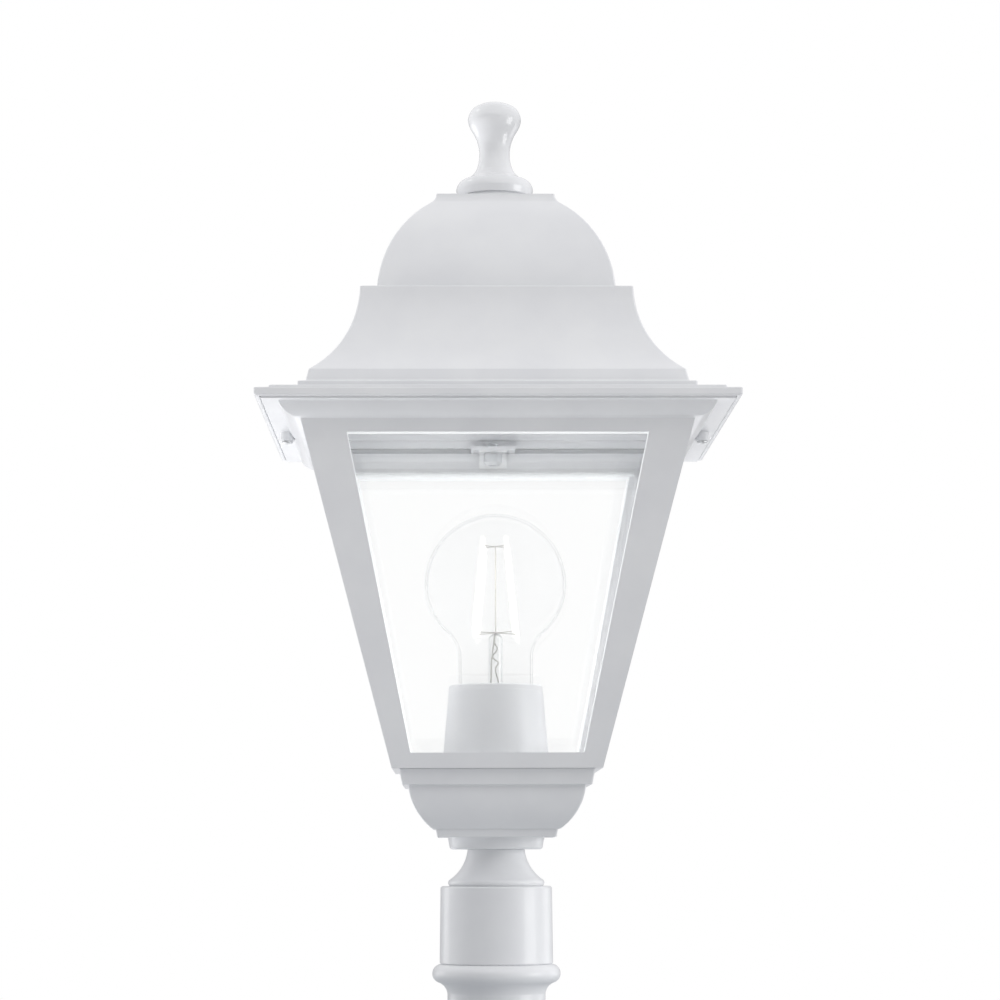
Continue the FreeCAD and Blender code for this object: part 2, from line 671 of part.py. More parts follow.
def make_bowl():
    outside = squared("bowl_outside", [
        ("step_base_half", "disc_top"),
        ("step_top_half", "step_top"),
        ("side_base_half", "step_top"),
        ("side_top_half", "side_top", "side_radius", "left"),
        ("tier_base_half", "side_top"),
        ("tier_top_half", "bowl_top"),
    ])
    inside = squared("bowl_inside", [
        ("step_top_half - bowl_wall", "bowl_floor"),
        ("side_top_half - bowl_wall", "side_top", "side_radius - bowl_wall", "left"),
        ("side_top_half - bowl_wall", "side_top + bowl_wall"),
        ("tier_base_half - bowl_wall", "side_top + bowl_wall"),
        ("tier_top_half - bowl_wall", "bowl_top"),
    ])
    disc = turned("bowl_disc", [
        ("0", "collar_top"),
        ("disc_base_radius - disc_round", "collar_top"),
        ("disc_base_radius", "collar_top + disc_round", "disc_round", "left"),
        ("disc_top_radius", "disc_top"),
        ("0", "disc_top"),
    ])
    post = rod("bowl_post", "boss_radius", "boss_height",
               "boss_spread", "boss_spread", "bowl_top - boss_height")
    hole = rod("bowl_post_hole", "frame_screw_radius + grub_clearance", "frame_screw_length",
               "boss_spread", "boss_spread", "frame_floor - frame_screw_length")
    posts = round_group("bowl_posts", post, quarter_turns)
    holes = round_group("bowl_post_holes", hole, quarter_turns)
    way = rod("bowl_tube_way", "tube_radius + tube_clearance", "bowl_floor - collar_top", z="collar_top")
    shell = fuse("bowl_casting", cut("bowl_shell", outside, inside), disc, posts)
    node(cut("bowl", shell, way, holes))


# Frame

def frustum(name, inset, top):
    # the space inside the frame's outer wall line, moved in level by level
    return squared(name, [
        (f"frame_base_half + frame_wall * frame_slope - {inset}", "frame_floor"),
        (f"frame_top_half - (frame_top - {top}) * frame_slope - {inset}", top),
    ])


def window(name, wider):
    shape = mirrored([
        (f"window_base_half + {wider}", "sill"),
        (f"window_top_half + {wider}", "head"),
    ])
    return [pushed(f"{name}_{plane}", plane, shape, "reach") for plane in ("XZ", "YZ")]


def guide_window(name):
    # the ribs run from floor to top, so their gap is the window's, carried on both ways
    lower = "window_base_half - (sill - frame_floor) * window_slope + guide_reveal"
    upper = "window_top_half - (head - guide_top) * window_slope + guide_reveal"
    shape = mirrored([(lower, "frame_floor"), (upper, "guide_top")])
    return [pushed(f"{name}_{plane}", plane, shape, "reach") for plane in ("XZ", "YZ")]


def make_guides():
    ribs = cut("guide_shell", frustum("guide_outside", "wall_across - guide_outer", "guide_top"),
               frustum("guide_inside", "wall_across - guide_inner", "guide_top"))
    ribs = cut("guide_ribs", ribs, *guide_window("guide_gap"))
    plate = block("guide_web_plate", "reach", "web_thickness", "guide_top - frame_floor",
                  "-reach / 2", "-web_thickness / 2", "frame_floor")
    webs = [turned_copy(f"guide_web_{angle}", plate, angle) for angle in diagonals]
    room = cut("guide_room", frustum("guide_room_outside", "wall_across", "guide_top"),
               frustum("guide_room_inside", "wall_across - guide_inner", "guide_top"))
    return ribs, common("guide_webs", room, compound("guide_web_plates", webs))


def make_frame():
    outside = squared("frame_outside", [
        ("frame_base_half", "bowl_top"),
        ("moulding_foot", "moulding_base"),
        ("moulding_foot + moulding_step", "moulding_base"),
        ("moulding_half", "flange_base", "moulding_radius", "left"),
        ("flange_half", "flange_base"),
        ("flange_half", "frame_top"),
    ])
    shell = cut("frame_shell", outside, frustum("frame_inside", "wall_across", "frame_top"))
    shell = cut("frame_open_shell", shell, *window("frame_window", "0"))
    lug = block("frame_lug", "2 * lug_half", "lug_root - lug_tip", "lug_thickness",
                "-lug_half", "-lug_root", "frame_top")
    boss = rod("frame_boss", "roof_boss_radius", "roof_boss_height", y="-roof_screw_place", z="boss_foot")
    ribs, webs = make_guides()
    casting = fuse("frame_casting", shell, ribs, webs,
                   round_group("frame_lugs", lug, quarter_turns),
                   round_group("frame_bosses", boss, two_sides))
    lug_hole = rod("frame_lug_hole", "stop_screw_radius + hole_clearance", "lug_thickness",
                   y="-stop_screw_place", z="frame_top")
    boss_hole = rod("frame_boss_hole", "roof_screw_radius + hole_clearance",
                    "frame_top - boss_foot", y="-roof_screw_place", z="boss_foot")
    floor_hole = taper("frame_floor_hole", "holder_base_radius - (bowl_top - holder_foot) * holder_slope"
                       " + holder_clearance", "holder_base_radius - (frame_floor - holder_foot)"
                       " * holder_slope + holder_clearance", "frame_wall", "bowl_top")
    screw_hole = rod("frame_screw_hole", "frame_screw_radius + hole_clearance", "frame_wall",
                     "boss_spread", "boss_spread", "bowl_top")
    node(cut("frame", casting, floor_hole,
             round_group("frame_lug_holes", lug_hole, quarter_turns),
             round_group("frame_boss_holes", boss_hole, two_sides),
             round_group("frame_screw_holes", screw_hole, quarter_turns)))
    screw = fuse("frame_screw", rod("frame_screw_shank", "frame_screw_radius", "frame_screw_length",
                                    "boss_spread", "boss_spread", "frame_floor - frame_screw_length"),
                 rod("frame_screw_cap", "frame_screw_head", "frame_screw_head_height",
                     "boss_spread", "boss_spread", "frame_floor"))
    node(round_group("frame_screws", screw, quarter_turns))


# Panes and what keeps them down

def make_panes():
    lower = "frame_base_half + frame_wall * frame_slope - wall_across"
    upper = "frame_top_half - (frame_top - pane_top) * frame_slope - wall_across"
    strip = pushed("pane_strip", "YZ", [
        (f"-({lower})", "frame_floor"),
        (f"-({lower} - pane_across)", "frame_floor"),
        (f"-({upper} - pane_across)", "pane_top"),
        (f"-({upper})", "pane_top"),
    ], "reach")
    outline = pushed("pane_outline", "XZ", mirrored([
        (f"{lower} - pane_inset", "frame_floor"),
        (f"{upper} - pane_inset", "pane_top"),
    ]), "reach")
    for side, angle in sides.items():
        pane = node(common("glass_" + side, strip, outline))
        pane.Placement = Placement(Vector(), Rotation(Vector(0, 0, 1), angle))


def make_stops():
    strip = pushed("pane_stop_bend", "YZ", [
        ("-stop_tip", "frame_top"),
        ("-stop_back", "frame_top"),
        ("-stop_back", "pane_top + stop_gap"),
        ("-(stop_back - stop_thickness)", "pane_top + stop_gap"),
        ("-(stop_back - stop_thickness)", "strip_base"),
        ("-stop_tip", "strip_base"),
    ], "2 * stop_half")
    hole = rod("pane_stop_hole", "stop_screw_radius + hole_clearance", "stop_thickness",
               y="-stop_screw_place", z="strip_base")
    node(round_group("pane_stops", cut("pane_stop", strip, hole), quarter_turns))
    washer = cut("stop_washer", rod("stop_washer_disc", "stop_screw_head", "stop_washer_thickness",
                                    y="-stop_screw_place", z="washer_base"),
                 rod("stop_washer_hole", "stop_screw_radius + hole_clearance", "stop_washer_thickness",
                     y="-stop_screw_place", z="washer_base"))
    node(round_group("stop_washers", washer, quarter_turns))
    screw = turned("stop_screw", [
        ("0", "washer_base - stop_screw_head_height"),
        ("stop_screw_head - stop_screw_chamfer", "washer_base - stop_screw_head_height"),
        ("stop_screw_head", "washer_base - stop_screw_head_height + stop_screw_chamfer"),
        ("stop_screw_head", "washer_base"),
        ("stop_screw_radius", "washer_base"),
        ("stop_screw_radius", "lug_top + stop_screw_tip - edge"),
        ("stop_screw_radius - edge", "lug_top + stop_screw_tip"),
        ("0", "lug_top + stop_screw_tip"),
    ])
    put(screw, y="-stop_screw_place")
    node(round_group("stop_screws", screw, quarter_turns))


# Roof

def make_roof():
    outside = squared("roof_outside", [
        ("rim_half", "rim_base"),
        ("rim_half", "rim_top"),
        ("step_two_half", "rim_top"),
        ("step_two_half", "step_two_top"),
        ("step_one_half", "step_two_top"),
        ("step_one_half", "step_one_top"),
        ("band_base_half + band_cove", "step_one_top"),
        ("band_base_half", "step_one_top + band_cove", "band_cove", "right"),
        ("band_top_half", "band_top"),
        ("flare_top_half", "ledge", "flare_radius", "right"),
        ("dome_half", "ledge"),
        ("dome_top_half", "dome_top", "dome_radius", "left"),
        ("top_tier_half", "tier_top", "tier_hollow", "right"),
    ])
    inside = squared("roof_inside", [
        ("rim_half - rim_lip", "rim_base"),
        ("rim_half - rim_lip", "rim_top - rim_ceiling"),
        ("step_two_half - roof_wall", "rim_top - rim_ceiling"),
        ("step_two_half - roof_wall", "roof_seat"),
        ("step_one_half - roof_wall", "roof_seat"),
        ("step_one_half - roof_wall", "step_one_top - roof_wall"),
        ("band_base_half - roof_wall", "step_one_top - roof_wall"),
        ("band_top_half - roof_wall", "band_top"),
        ("flare_top_half - roof_wall", "ledge - roof_wall", "flare_radius + roof_wall", "right"),
        ("dome_half - roof_wall", "ledge - roof_wall"),
        ("dome_top_half - roof_wall", "dome_top", "dome_radius - roof_wall", "left"),
        ("top_tier_half - roof_wall", "tier_top - roof_wall"),
    ])
    crown = taper("roof_crown", "crown_base_radius", "crown_top_radius", "crown_height", "tier_top")
    post_foot = "frame_top + roof_gap"
    post = rod("roof_post", "roof_post_radius", f"roof_seat + roof_wall / 2 - ({post_foot})",
               y="-roof_screw_place", z=post_foot)
    casting = fuse("roof_casting", cut("roof_shell", outside, inside), crown,
                   round_group("roof_posts", post, two_sides))
    stud_hole = rod("roof_stud_hole", "stud_radius + hole_clearance", "crown_top - tier_top + roof_wall",
                    z="tier_top - roof_wall")
    screw_hole = rod("roof_screw_hole", "roof_screw_radius + hole_clearance",
                     f"boss_foot + roof_screw_reach + hole_clearance - ({post_foot})",
                     y="-roof_screw_place", z=post_foot)
    node(cut("roof", casting, stud_hole, round_group("roof_screw_holes", screw_hole, two_sides)))
    node(cut("roof_seal", *[
        squared("seal_" + edge, [(half, "frame_top"), (half, "roof_seat")])
        for edge, half in (("outer", "seal_outer_half"), ("inner", "seal_inner_half"))
    ]))
    screw = fuse("roof_screw", rod("roof_screw_shank", "roof_screw_radius", "roof_screw_reach",
                                   y="-roof_screw_place", z="boss_foot"),
                 rod("roof_screw_cap", "roof_screw_head", "roof_screw_head_height",
                     y="-roof_screw_place", z="boss_foot - roof_screw_head_height"))
    node(round_group("roof_screws", screw, two_sides))


# Finial

def make_finial():
    blind = "stud_radius + stud_clearance"
    node(turned("finial", [
        (blind, "crown_top"),
        ("foot_base_radius", "crown_top"),
        ("foot_radius", "crown_top + foot_side_height"),
        ("foot_top_radius", "crown_top + foot_height", "foot_round", "left"),
        ("stem_base_radius", "crown_top + stem_base_height", "stem_cove_radius", "right"),
        ("stem_top_radius", "crown_top + stem_top_height", "stem_waist_radius", "right"),
        ("knob_radius", "crown_top + knob_height", "knob_under_radius", "left"),
        ("knob_shoulder_radius", "crown_top + knob_shoulder_height", "knob_side_radius", "left"),
        ("0", "crown_top + finial_height", "knob_crown_radius", "left"),
        ("0", "crown_top + stud_depth + stud_clearance"),
        (blind, "crown_top + stud_depth + stud_clearance"),
    ]))
    node(rod("finial_stud", "stud_radius", "crown_top + stud_depth - stud_foot", z="stud_foot"))
    level = "finial_washer_base"
    node(cut("finial_washer",
             rod("finial_washer_disc", "finial_washer_radius", "finial_washer_thickness", z=level),
             rod("finial_washer_hole", "stud_radius + hole_clearance", "finial_washer_thickness", z=level)))
    level = "finial_nut_base"
    node(cut("finial_nut",
             hexagon("finial_nut_hex", "finial_nut_flats", "finial_nut_height", level),
             rod("finial_nut_hole", "stud_radius + stud_clearance", "finial_nut_height", z=level)))


# Lampholder

def make_lampholder():
    node(turned("lampholder_sleeve", [
        ("holder_base_radius - holder_wall", "holder_foot"),
        ("holder_base_radius", "holder_foot"),
        ("holder_top_radius + edge * holder_slope", "holder_top - edge"),
        ("holder_top_radius - edge", "holder_top"),
        ("mouth_radius", "holder_top"),
        ("mouth_radius", "holder_top - mouth_lip"),
        ("holder_top_radius - holder_wall + mouth_lip * holder_slope", "holder_top - mouth_lip"),
    ]))
    base = turned("holder_base_moulding", [
        ("tube_radius + stud_clearance", "holder_foot"),
        ("holder_base_radius - holder_wall - holder_disc_gap - holder_disc * holder_slope", "holder_foot"),
        ("holder_base_radius - holder_wall - holder_disc_gap - holder_disc * holder_slope", "disc_level"),
        ("holder_post_outer", "disc_level"),
        ("holder_post_outer", "insert_foot"),
        ("holder_post_inner", "insert_foot"),
        ("holder_post_inner", "disc_level"),
        ("nipple_radius", "disc_level"),
        ("nipple_radius", "holder_foot + nipple_height"),
        ("tube_radius + stud_clearance", "holder_foot + nipple_height"),
    ])
    lead_middle = "block_place + block_depth / 2"
    holes = [rod("lead_hole_" + name, "lead_hole", "holder_post_height", x, lead_middle, "holder_foot")
             for name, x in (("left", "-lead_place"), ("right", "lead_place"))]
    node(cut("lampholder_base", base, *holes))
    node(turned("lampholder_insert", [
        ("0", "insert_foot"),
        ("insert_radius", "insert_foot"),
        ("insert_radius", "insert_foot + insert_height"),
        ("insert_bore", "insert_foot + insert_height"),
        ("insert_bore", "insert_level"),
        ("0", "insert_level"),
    ]))
    node(turned("screw_shell", [
        ("shell_inner", "insert_level + shell_lift"),
        ("shell_outer", "insert_level + shell_lift"),
        ("shell_outer", "insert_level + shell_lift + shell_height"),
        ("shell_inner", "insert_level + shell_lift + shell_height"),
    ]))
    node(pushed("centre_contact", "XZ", [
        ("-tongue_reach", "insert_level"),
        ("0", "insert_level"),
        ("tongue_half", "contact_level - tongue_thickness"),
        ("tongue_half", "contact_level"),
        ("-tongue_half", "contact_level"),
        ("-tongue_half", "contact_level - tongue_thickness"),
        ("tongue_half - tongue_thickness", "contact_level - tongue_thickness"),
        ("-tongue_thickness / 2", "insert_level + tongue_thickness"),
        ("-tongue_reach", "insert_level + tongue_thickness"),
    ], "2 * tongue_half"))


# Bulb

def bulb_outline(inset):
    # right half of the envelope, from the cap up, moved in by the wall for its inside
    return [
        (f"bulb_seat_radius - {inset}", "bulb_seat"),
        (f"bulb_seat_radius - {inset}", "cap_top"),
        (f"bulb_neck_radius - {inset}", "cap_top + bulb_neck_rise"),
        (f"bulb_neck_radius - {inset}", "bulb_middle - bulb_neck_drop"),
        (f"bulb_waist_radius - {inset}", "bulb_middle - bulb_waist_drop",
         f"bulb_neck_round + {inset}", "right"),
        (f"bulb_radius - {inset}", "bulb_middle", f"bulb_lower_radius - {inset}", "left"),
        ("0", f"bulb_top - {inset}", f"bulb_radius - {inset}", "left"),
    ]


def make_bulb():
    node(turned("bulb_cap", [
        ("cap_lip", "cap_base"),
        ("cap_radius - edge", "cap_base"),
        ("cap_radius", "cap_base + edge"),
        ("cap_radius", "cap_top"),
        ("cap_radius - cap_wall", "cap_top"),
        ("cap_radius - cap_wall", "cap_base + cap_wall"),
        ("cap_lip", "cap_base + cap_wall"),
    ]))
    node(turned("bulb_insulator", [
        ("0", "insulator_base"),
        ("insulator_tip", "insulator_base"),
        ("cap_lip", "cap_base"),
        ("cap_lip", "cap_base + cap_wall"),
        ("0", "cap_base + cap_wall"),
    ]))
    node(taper("bulb_contact", "contact_radius - edge", "contact_radius", "contact_height", "contact_base"))
    envelope = turned("bulb_outside", bulb_outline("0") + [("0", "bulb_seat")])
    hollow = turned("bulb_inside", bulb_outline("bulb_wall") + [("0", "bulb_seat")])
    node(cut("bulb_glass", envelope, hollow))
    node(turned("bulb_stem", [
        ("0", "bulb_seat"),
        ("stem_flare", "bulb_seat"),
        ("stem_tube", "bulb_seat + stem_flare_height"),
        ("stem_tube", "stem_top - stem_tube"),
        ("0", "stem_top", "stem_tube", "left"),
    ]))
    make_filaments()


def bar(name, radius, start, end):
    # a round bar between two points, each given as (from the axis, up), in the XZ plane
    run, rise = f"({end[0]} - ({start[0]}))", f"({end[1]} - ({start[1]}))"
    rod_between = doc.addObject("Part::Cylinder", name)
    bind(rod_between, Radius=radius, Height=f"sqrt({run} ^ 2 + {rise} ^ 2)")
    lean = math.degrees(math.atan2(value(run), value(rise)))
    rod_between.Placement = Placement(Vector(), Rotation(Vector(0, 1, 0), lean))
    put(rod_between, x=start[0], z=start[1])
    return rod_between


def make_filaments():
    foot, head = ("filament_foot_ring", "filament_foot"), ("filament_head_ring", "filament_head")
    stick = bar("filament", "filament_radius", foot, head)
    filaments = node(round_group("bulb_filaments", stick, filament_turns))
    arms = [
        bar("wire_foot", "wire_radius", ("0", "filament_foot"), foot),
        bar("wire_head", "wire_radius", ("0", "filament_head"), head),
    ]
    post = rod("wire_post", "wire_radius", "filament_head - stem_top", z="stem_top")
    fan = [turned_copy(f"wire_arms_{angle}", compound(f"wire_pair_{angle}", arms), angle)
           for angle in filament_turns]
    node(cut("bulb_wires", fuse("wire_fan", post, *fan), filaments))


# Wiring in the bowl

def make_wiring():
    middle = "block_place + block_depth / 2"
    level = "bowl_floor + block_height"
    node(block("terminal_block", "2 * block_half", "block_depth", "block_height",
               "-block_half", "block_place", "bowl_floor"))
    screws = [rod("terminal_screw_" + name, "block_screw_radius", "block_screw_height", x, middle, level)
              for name, x in (("left", "-block_screw_spread"), ("right", "block_screw_spread"))]
    node(compound("terminal_screws", screws))
    leads = [rod("lead_" + name, "lead_radius", f"insert_foot - ({level})", x, middle, level)
             for name, x in (("left", "-lead_place"), ("right", "lead_place"))]
    node(compound("lamp_leads", leads))


make_post_ring()
make_collar()
make_tube()
make_bowl()
make_frame()
make_panes()
make_stops()
make_roof()
make_finial()
make_lampholder()
make_bulb()
make_wiring()
doc.recompute()

# Tests and export

failed = [thing.Name for thing in doc.Objects if "Invalid" in thing.State or "Error" in thing.State]
failed += [thing.Label for thing in nodes if thing.Shape.isNull() or not thing.Shape.isValid()]
if failed:
    raise RuntimeError("failed: " + ", ".join(failed))

os.makedirs("parts", exist_ok=True)
for thing in nodes:
    box = thing.Shape.BoundBox
    print(f"{thing.Label:20s} solids {len(thing.Shape.Solids):2d} volume {thing.Shape.Volume:10.1f}"
          f" z {box.ZMin:7.2f} {box.ZMax:7.2f}")
    thing.Shape.exportStep(f"parts/{thing.Label}.step")
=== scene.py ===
import json
import math

import bmesh
import bpy
from mathutils import Matrix, Vector


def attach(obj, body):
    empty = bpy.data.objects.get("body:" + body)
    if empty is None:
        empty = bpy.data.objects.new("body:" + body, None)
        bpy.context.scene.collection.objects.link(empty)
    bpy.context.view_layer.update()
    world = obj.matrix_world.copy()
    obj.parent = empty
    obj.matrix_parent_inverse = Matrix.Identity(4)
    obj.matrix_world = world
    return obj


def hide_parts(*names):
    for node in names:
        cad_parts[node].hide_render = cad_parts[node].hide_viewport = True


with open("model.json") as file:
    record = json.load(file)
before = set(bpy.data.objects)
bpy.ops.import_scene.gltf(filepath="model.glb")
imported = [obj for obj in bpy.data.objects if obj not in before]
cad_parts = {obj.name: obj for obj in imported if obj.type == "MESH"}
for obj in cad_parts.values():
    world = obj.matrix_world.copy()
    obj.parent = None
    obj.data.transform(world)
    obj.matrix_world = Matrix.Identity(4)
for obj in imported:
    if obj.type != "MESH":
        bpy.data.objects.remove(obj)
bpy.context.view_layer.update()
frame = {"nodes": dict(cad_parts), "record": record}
print("frame loaded:", len(frame["nodes"]), "nodes")

# A white cast aluminium post top lantern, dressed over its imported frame.
# Sizes in the dictionaries are millimetres and degrees; the studio's places are metres. Corners of
# an outline are (w, z): w is the half width of a square plan or the radius of a round one.
mm = 0.001
bodyOf = {name: body for body, names in frame["record"]["behaviour"]["bodies"].items()
          for name in names}
slotOf = {part["node"]: part["material_slot"] for part in frame["record"]["subparts"]}


def linear(hexColour):
    parts = [int(hexColour[i:i + 2], 16) / 255 for i in (1, 3, 5)]
    return [c / 12.92 if c <= 0.04045 else ((c + 0.055) / 1.055) ** 2.4 for c in parts] + [1.0]


# how the nodes lie in the editor: the steps between them, where rows start, and how many to a line
layout = {"step": (190, 170), "first": (-9, 3), "line": 7}


def addNode(tree, kind, at, inputs=None, **settings):
    # one node with its settings and its links; an input is a number, a socket, or a node whose
    # first output is meant
    node = tree.nodes.new(kind)
    node.location = (at[0] * layout["step"][0], at[1] * layout["step"][1])
    for name, setting in settings.items():
        setattr(node, name, setting)
    for name, source in (inputs or {}).items():
        if isinstance(source, bpy.types.Node):
            source = source.outputs[0]
        if isinstance(source, bpy.types.NodeSocket):
            tree.links.new(source, node.inputs[name])
        else:
            node.inputs[name].default_value = source
    return node


def addRows(tree, known, rows):
    # rows of (name, kind, inputs, settings or operation); a text among the inputs names an earlier
    # row, and "row.Z" or "row.2" one of its outputs
    for i, (name, kind, inputs, *settings) in enumerate(rows):
        sources = {}
        for socket, source in inputs.items():
            if isinstance(source, str):
                row, dot, output = source.partition(".")
                source = known[row]
                if dot:
                    source = source.outputs[int(output) if output.isdigit() else output]
            sources[socket] = source
        at = (layout["first"][0] + i % layout["line"], layout["first"][1] - i // layout["line"])
        given = settings[0] if settings else {}
        given = {"operation": given} if isinstance(given, str) else given
        known[name] = addNode(tree, kind, at, sources, **given)
    return known


mathNode, rangeNode, mixNode = "ShaderNodeMath", "ShaderNodeMapRange", "ShaderNodeMix"
noiseNode, bumpNode = "ShaderNodeTexNoise", "ShaderNodeBump"
mixedColour = {"data_type": "RGBA"}
smoothStep = {"interpolation_type": "SMOOTHSTEP"}
middle = {"From Min": 0.3, "From Max": 0.7}  # where nearly all of a noise lies


def makeMaterial(name, sockets, rows, links):
    # the shader's uniform numbers, the rows of its patterns, and which row drives which socket
    material = bpy.data.materials.new(name)
    material.use_nodes = True
    tree = material.node_tree
    tree.nodes.clear()
    place = addNode(tree, "ShaderNodeTexCoord", (-11, 3)).outputs["Object"]
    known = addRows(tree, {"place": place}, rows)
    shader = addNode(tree, "ShaderNodeBsdfPrincipled", (0, 0), sockets)
    for socket, row in links.items():
        row, dot, output = row.partition(".")
        tree.links.new(known[row].outputs[int(output) if dot else 0], shader.inputs[socket])
    addNode(tree, "ShaderNodeOutputMaterial", (2, 0), {"Surface": shader})
    return material


def cloudedColour(size, dark, light):
    # rows of a colour that drifts between two shades, with patches of so many millimetres
    return [
        ("cloud", noiseNode, {"Vector": "place", "Scale": 1 / (size * mm), "Detail": 3}),
        ("share", rangeNode, {"Value": "cloud", **middle}),
        ("colour", mixNode, {0: "share", 6: linear(dark), 7: linear(light)}, mixedColour),
    ]


# sizes of the patches, the haze of the gloss, the orange peel and the cast skin; the skin's waves
# are so many times as deep as the peel
enamel = {"cloud": 26, "haze": 4.8, "peel": 1.1, "skin": 10.5, "skinDepth": 2.2,
          "coat": 0.25, "coatRough": 0.12}


def makeEnamel(name, dark, light, rough, peel):
    # polyester enamel sprayed on castings: satin white with soft highlights, the spray's faint
    # orange peel, slow waves of the cast skin under it, and a gloss that is a little cloudy
    coat = {"IOR": 1.5, "Coat Weight": enamel["coat"], "Coat Roughness": enamel["coatRough"]}
    return makeMaterial(name, coat, [
        *cloudedColour(enamel["cloud"], dark, light),
        ("haze", noiseNode, {"Vector": "place", "Scale": 1 / (enamel["haze"] * mm)}),
        ("gloss", rangeNode, {"Value": "haze", **middle, "To Min": rough[0], "To Max": rough[1]}),
        ("peel", noiseNode, {"Vector": "place", "Scale": 1 / (enamel["peel"] * mm)}),
        ("peelBump", bumpNode, {"Height": "peel", "Distance": peel * mm, "Strength": 1}),
        ("skin", noiseNode, {"Vector": "place", "Scale": 1 / (enamel["skin"] * mm)}),
        ("skinBump", bumpNode, {"Height": "skin", "Distance": enamel["skinDepth"] * peel * mm,
                                "Strength": 1, "Normal": "peelBump"}),
    ], {"Base Color": "colour.2", "Roughness": "gloss", "Normal": "skinBump"})


# sizes of the sheen's patches and of the tool lines, which are so many times as close along Z
metal = {"cloud": 3.8, "line": 2, "squeeze": 8}


def makeMetal(name, dark, light, rough, lines):
    # turned, drawn or plated metal: cloudy sheen, and fine tool lines round the axis, drawn coarse
    # enough to show
    return makeMaterial(name, {"Metallic": 1.0}, [
        *cloudedColour(metal["cloud"], dark, light),
        ("gloss", rangeNode, {"Value": "cloud", **middle, "To Min": rough[0], "To Max": rough[1]}),
        ("along", "ShaderNodeMapping", {"Vector": "place", "Scale": (1, 1, metal["squeeze"])}),
        ("line", noiseNode, {"Vector": "along", "Scale": 1 / (metal["line"] * mm)}),
        ("lineBump", bumpNode, {"Height": "line", "Distance": lines * mm, "Strength": 1}),
    ], {"Base Color": "colour.2", "Roughness": "gloss", "Normal": "lineBump"})


# sizes of the colour's patches, the haze of the gloss and the grain of the mould
moulded = {"cloud": 17, "haze": 2.4, "grain": 0.7, "coatRough": 0.06}


def makeMoulded(name, dark, light, rough, grain, coat=0.0):
    # moulded plastic, rubber, glass or glazed ceramic: even colour, a fine grain from the mould,
    # and a patchy gloss
    glaze = {"IOR": 1.5, "Coat Weight": coat, "Coat Roughness": moulded["coatRough"]}
    return makeMaterial(name, glaze, [
        *cloudedColour(moulded["cloud"], dark, light),
        ("haze", noiseNode, {"Vector": "place", "Scale": 1 / (moulded["haze"] * mm)}),
        ("gloss", rangeNode, {"Value": "haze", **middle, "To Min": rough[0], "To Max": rough[1]}),
        ("grain", noiseNode, {"Vector": "place", "Scale": 1 / (moulded["grain"] * mm)}),
        ("grainBump", bumpNode, {"Height": "grain", "Distance": grain * mm, "Strength": 1}),
    ], {"Base Color": "colour.2", "Roughness": "gloss", "Normal": "grainBump"})


# a window: levels of its edges, half its width at the foot and how fast that grows upwards; how far
# in from its edge the painted glow starts, how wide its band is, its faintest share and its
# cover; the size of the dust's patches
pane = {"foot": 129.0, "head": 256.2, "half": 35.5, "slope": 0.198, "inset": 0.2, "band": 5.0,
        "faint": 0.1, "cover": 0.8, "dust": 45}


def makePane(name, clear, glow):
    # float glass of 2.5 mm: nearly unseen in its middle; where it laps over the frame, next to the
    # opening, a band is painted milky white and made to glow: painted light standing in for the
    # lamp's light caught in the glass
    shades = {"Base Color": linear("#FBFDFC"), "IOR": 1.5, "Emission Color": linear("#FCFDFF")}
    return makeMaterial(name, shades, [
        ("size", "ShaderNodeVectorMath", {0: "place"}, "ABSOLUTE"),
        ("spot", "ShaderNodeSeparateXYZ", {0: "size"}),
        ("across", mathNode, {0: "spot.X", 1: "spot.Y"}, "MINIMUM"),
        ("rise", mathNode, {0: "spot.Z", 1: pane["foot"] * mm}, "SUBTRACT"),
        ("half", mathNode, {0: "rise", 1: pane["slope"], 2: pane["half"] * mm}, "MULTIPLY_ADD"),
        ("beside", mathNode, {0: "across", 1: "half"}, "SUBTRACT"),
        ("above", mathNode, {0: "spot.Z", 1: pane["head"] * mm}, "SUBTRACT"),
        ("outside", mathNode, {0: "beside", 1: "above"}, "MAXIMUM"),
        ("lap", mathNode, {0: "outside", 1: -pane["inset"] * mm}, "GREATER_THAN"),
        ("fade", rangeNode, {"Value": "outside", "From Min": 0, "From Max": pane["band"] * mm,
                             "To Min": 1, "To Max": pane["faint"]}, smoothStep),
        # painted glow: the band along the pane's border, turned opaque white and emissive
        ("milk", mathNode, {0: "lap", 1: "fade"}, "MULTIPLY"),
        ("solid", rangeNode, {"Value": "milk", "To Min": clear, "To Max": pane["cover"]}),
        # painted glow: the band's emission, as strong as glow
        ("light", mathNode, {0: "milk", 1: glow}, "MULTIPLY"),
        ("through", mathNode, {0: 1, 1: "milk"}, "SUBTRACT"),
        ("dust", noiseNode, {"Vector": "place", "Scale": 1 / (pane["dust"] * mm), "Detail": 3}),
        ("gloss", rangeNode, {"Value": "dust", **middle, "To Min": 0, "To Max": 0.03}),
    ], {"Alpha": "solid", "Emission Strength": "light", "Transmission Weight": "through",
        "Roughness": "gloss"})


# sizes of the dust's patches and of the ripples, the ripples' depth, and how far the wall has to
# turn from the eye before its outline starts
blown = {"dust": 20, "ripple": 18, "depth": 0.02, "outline": 0.7}


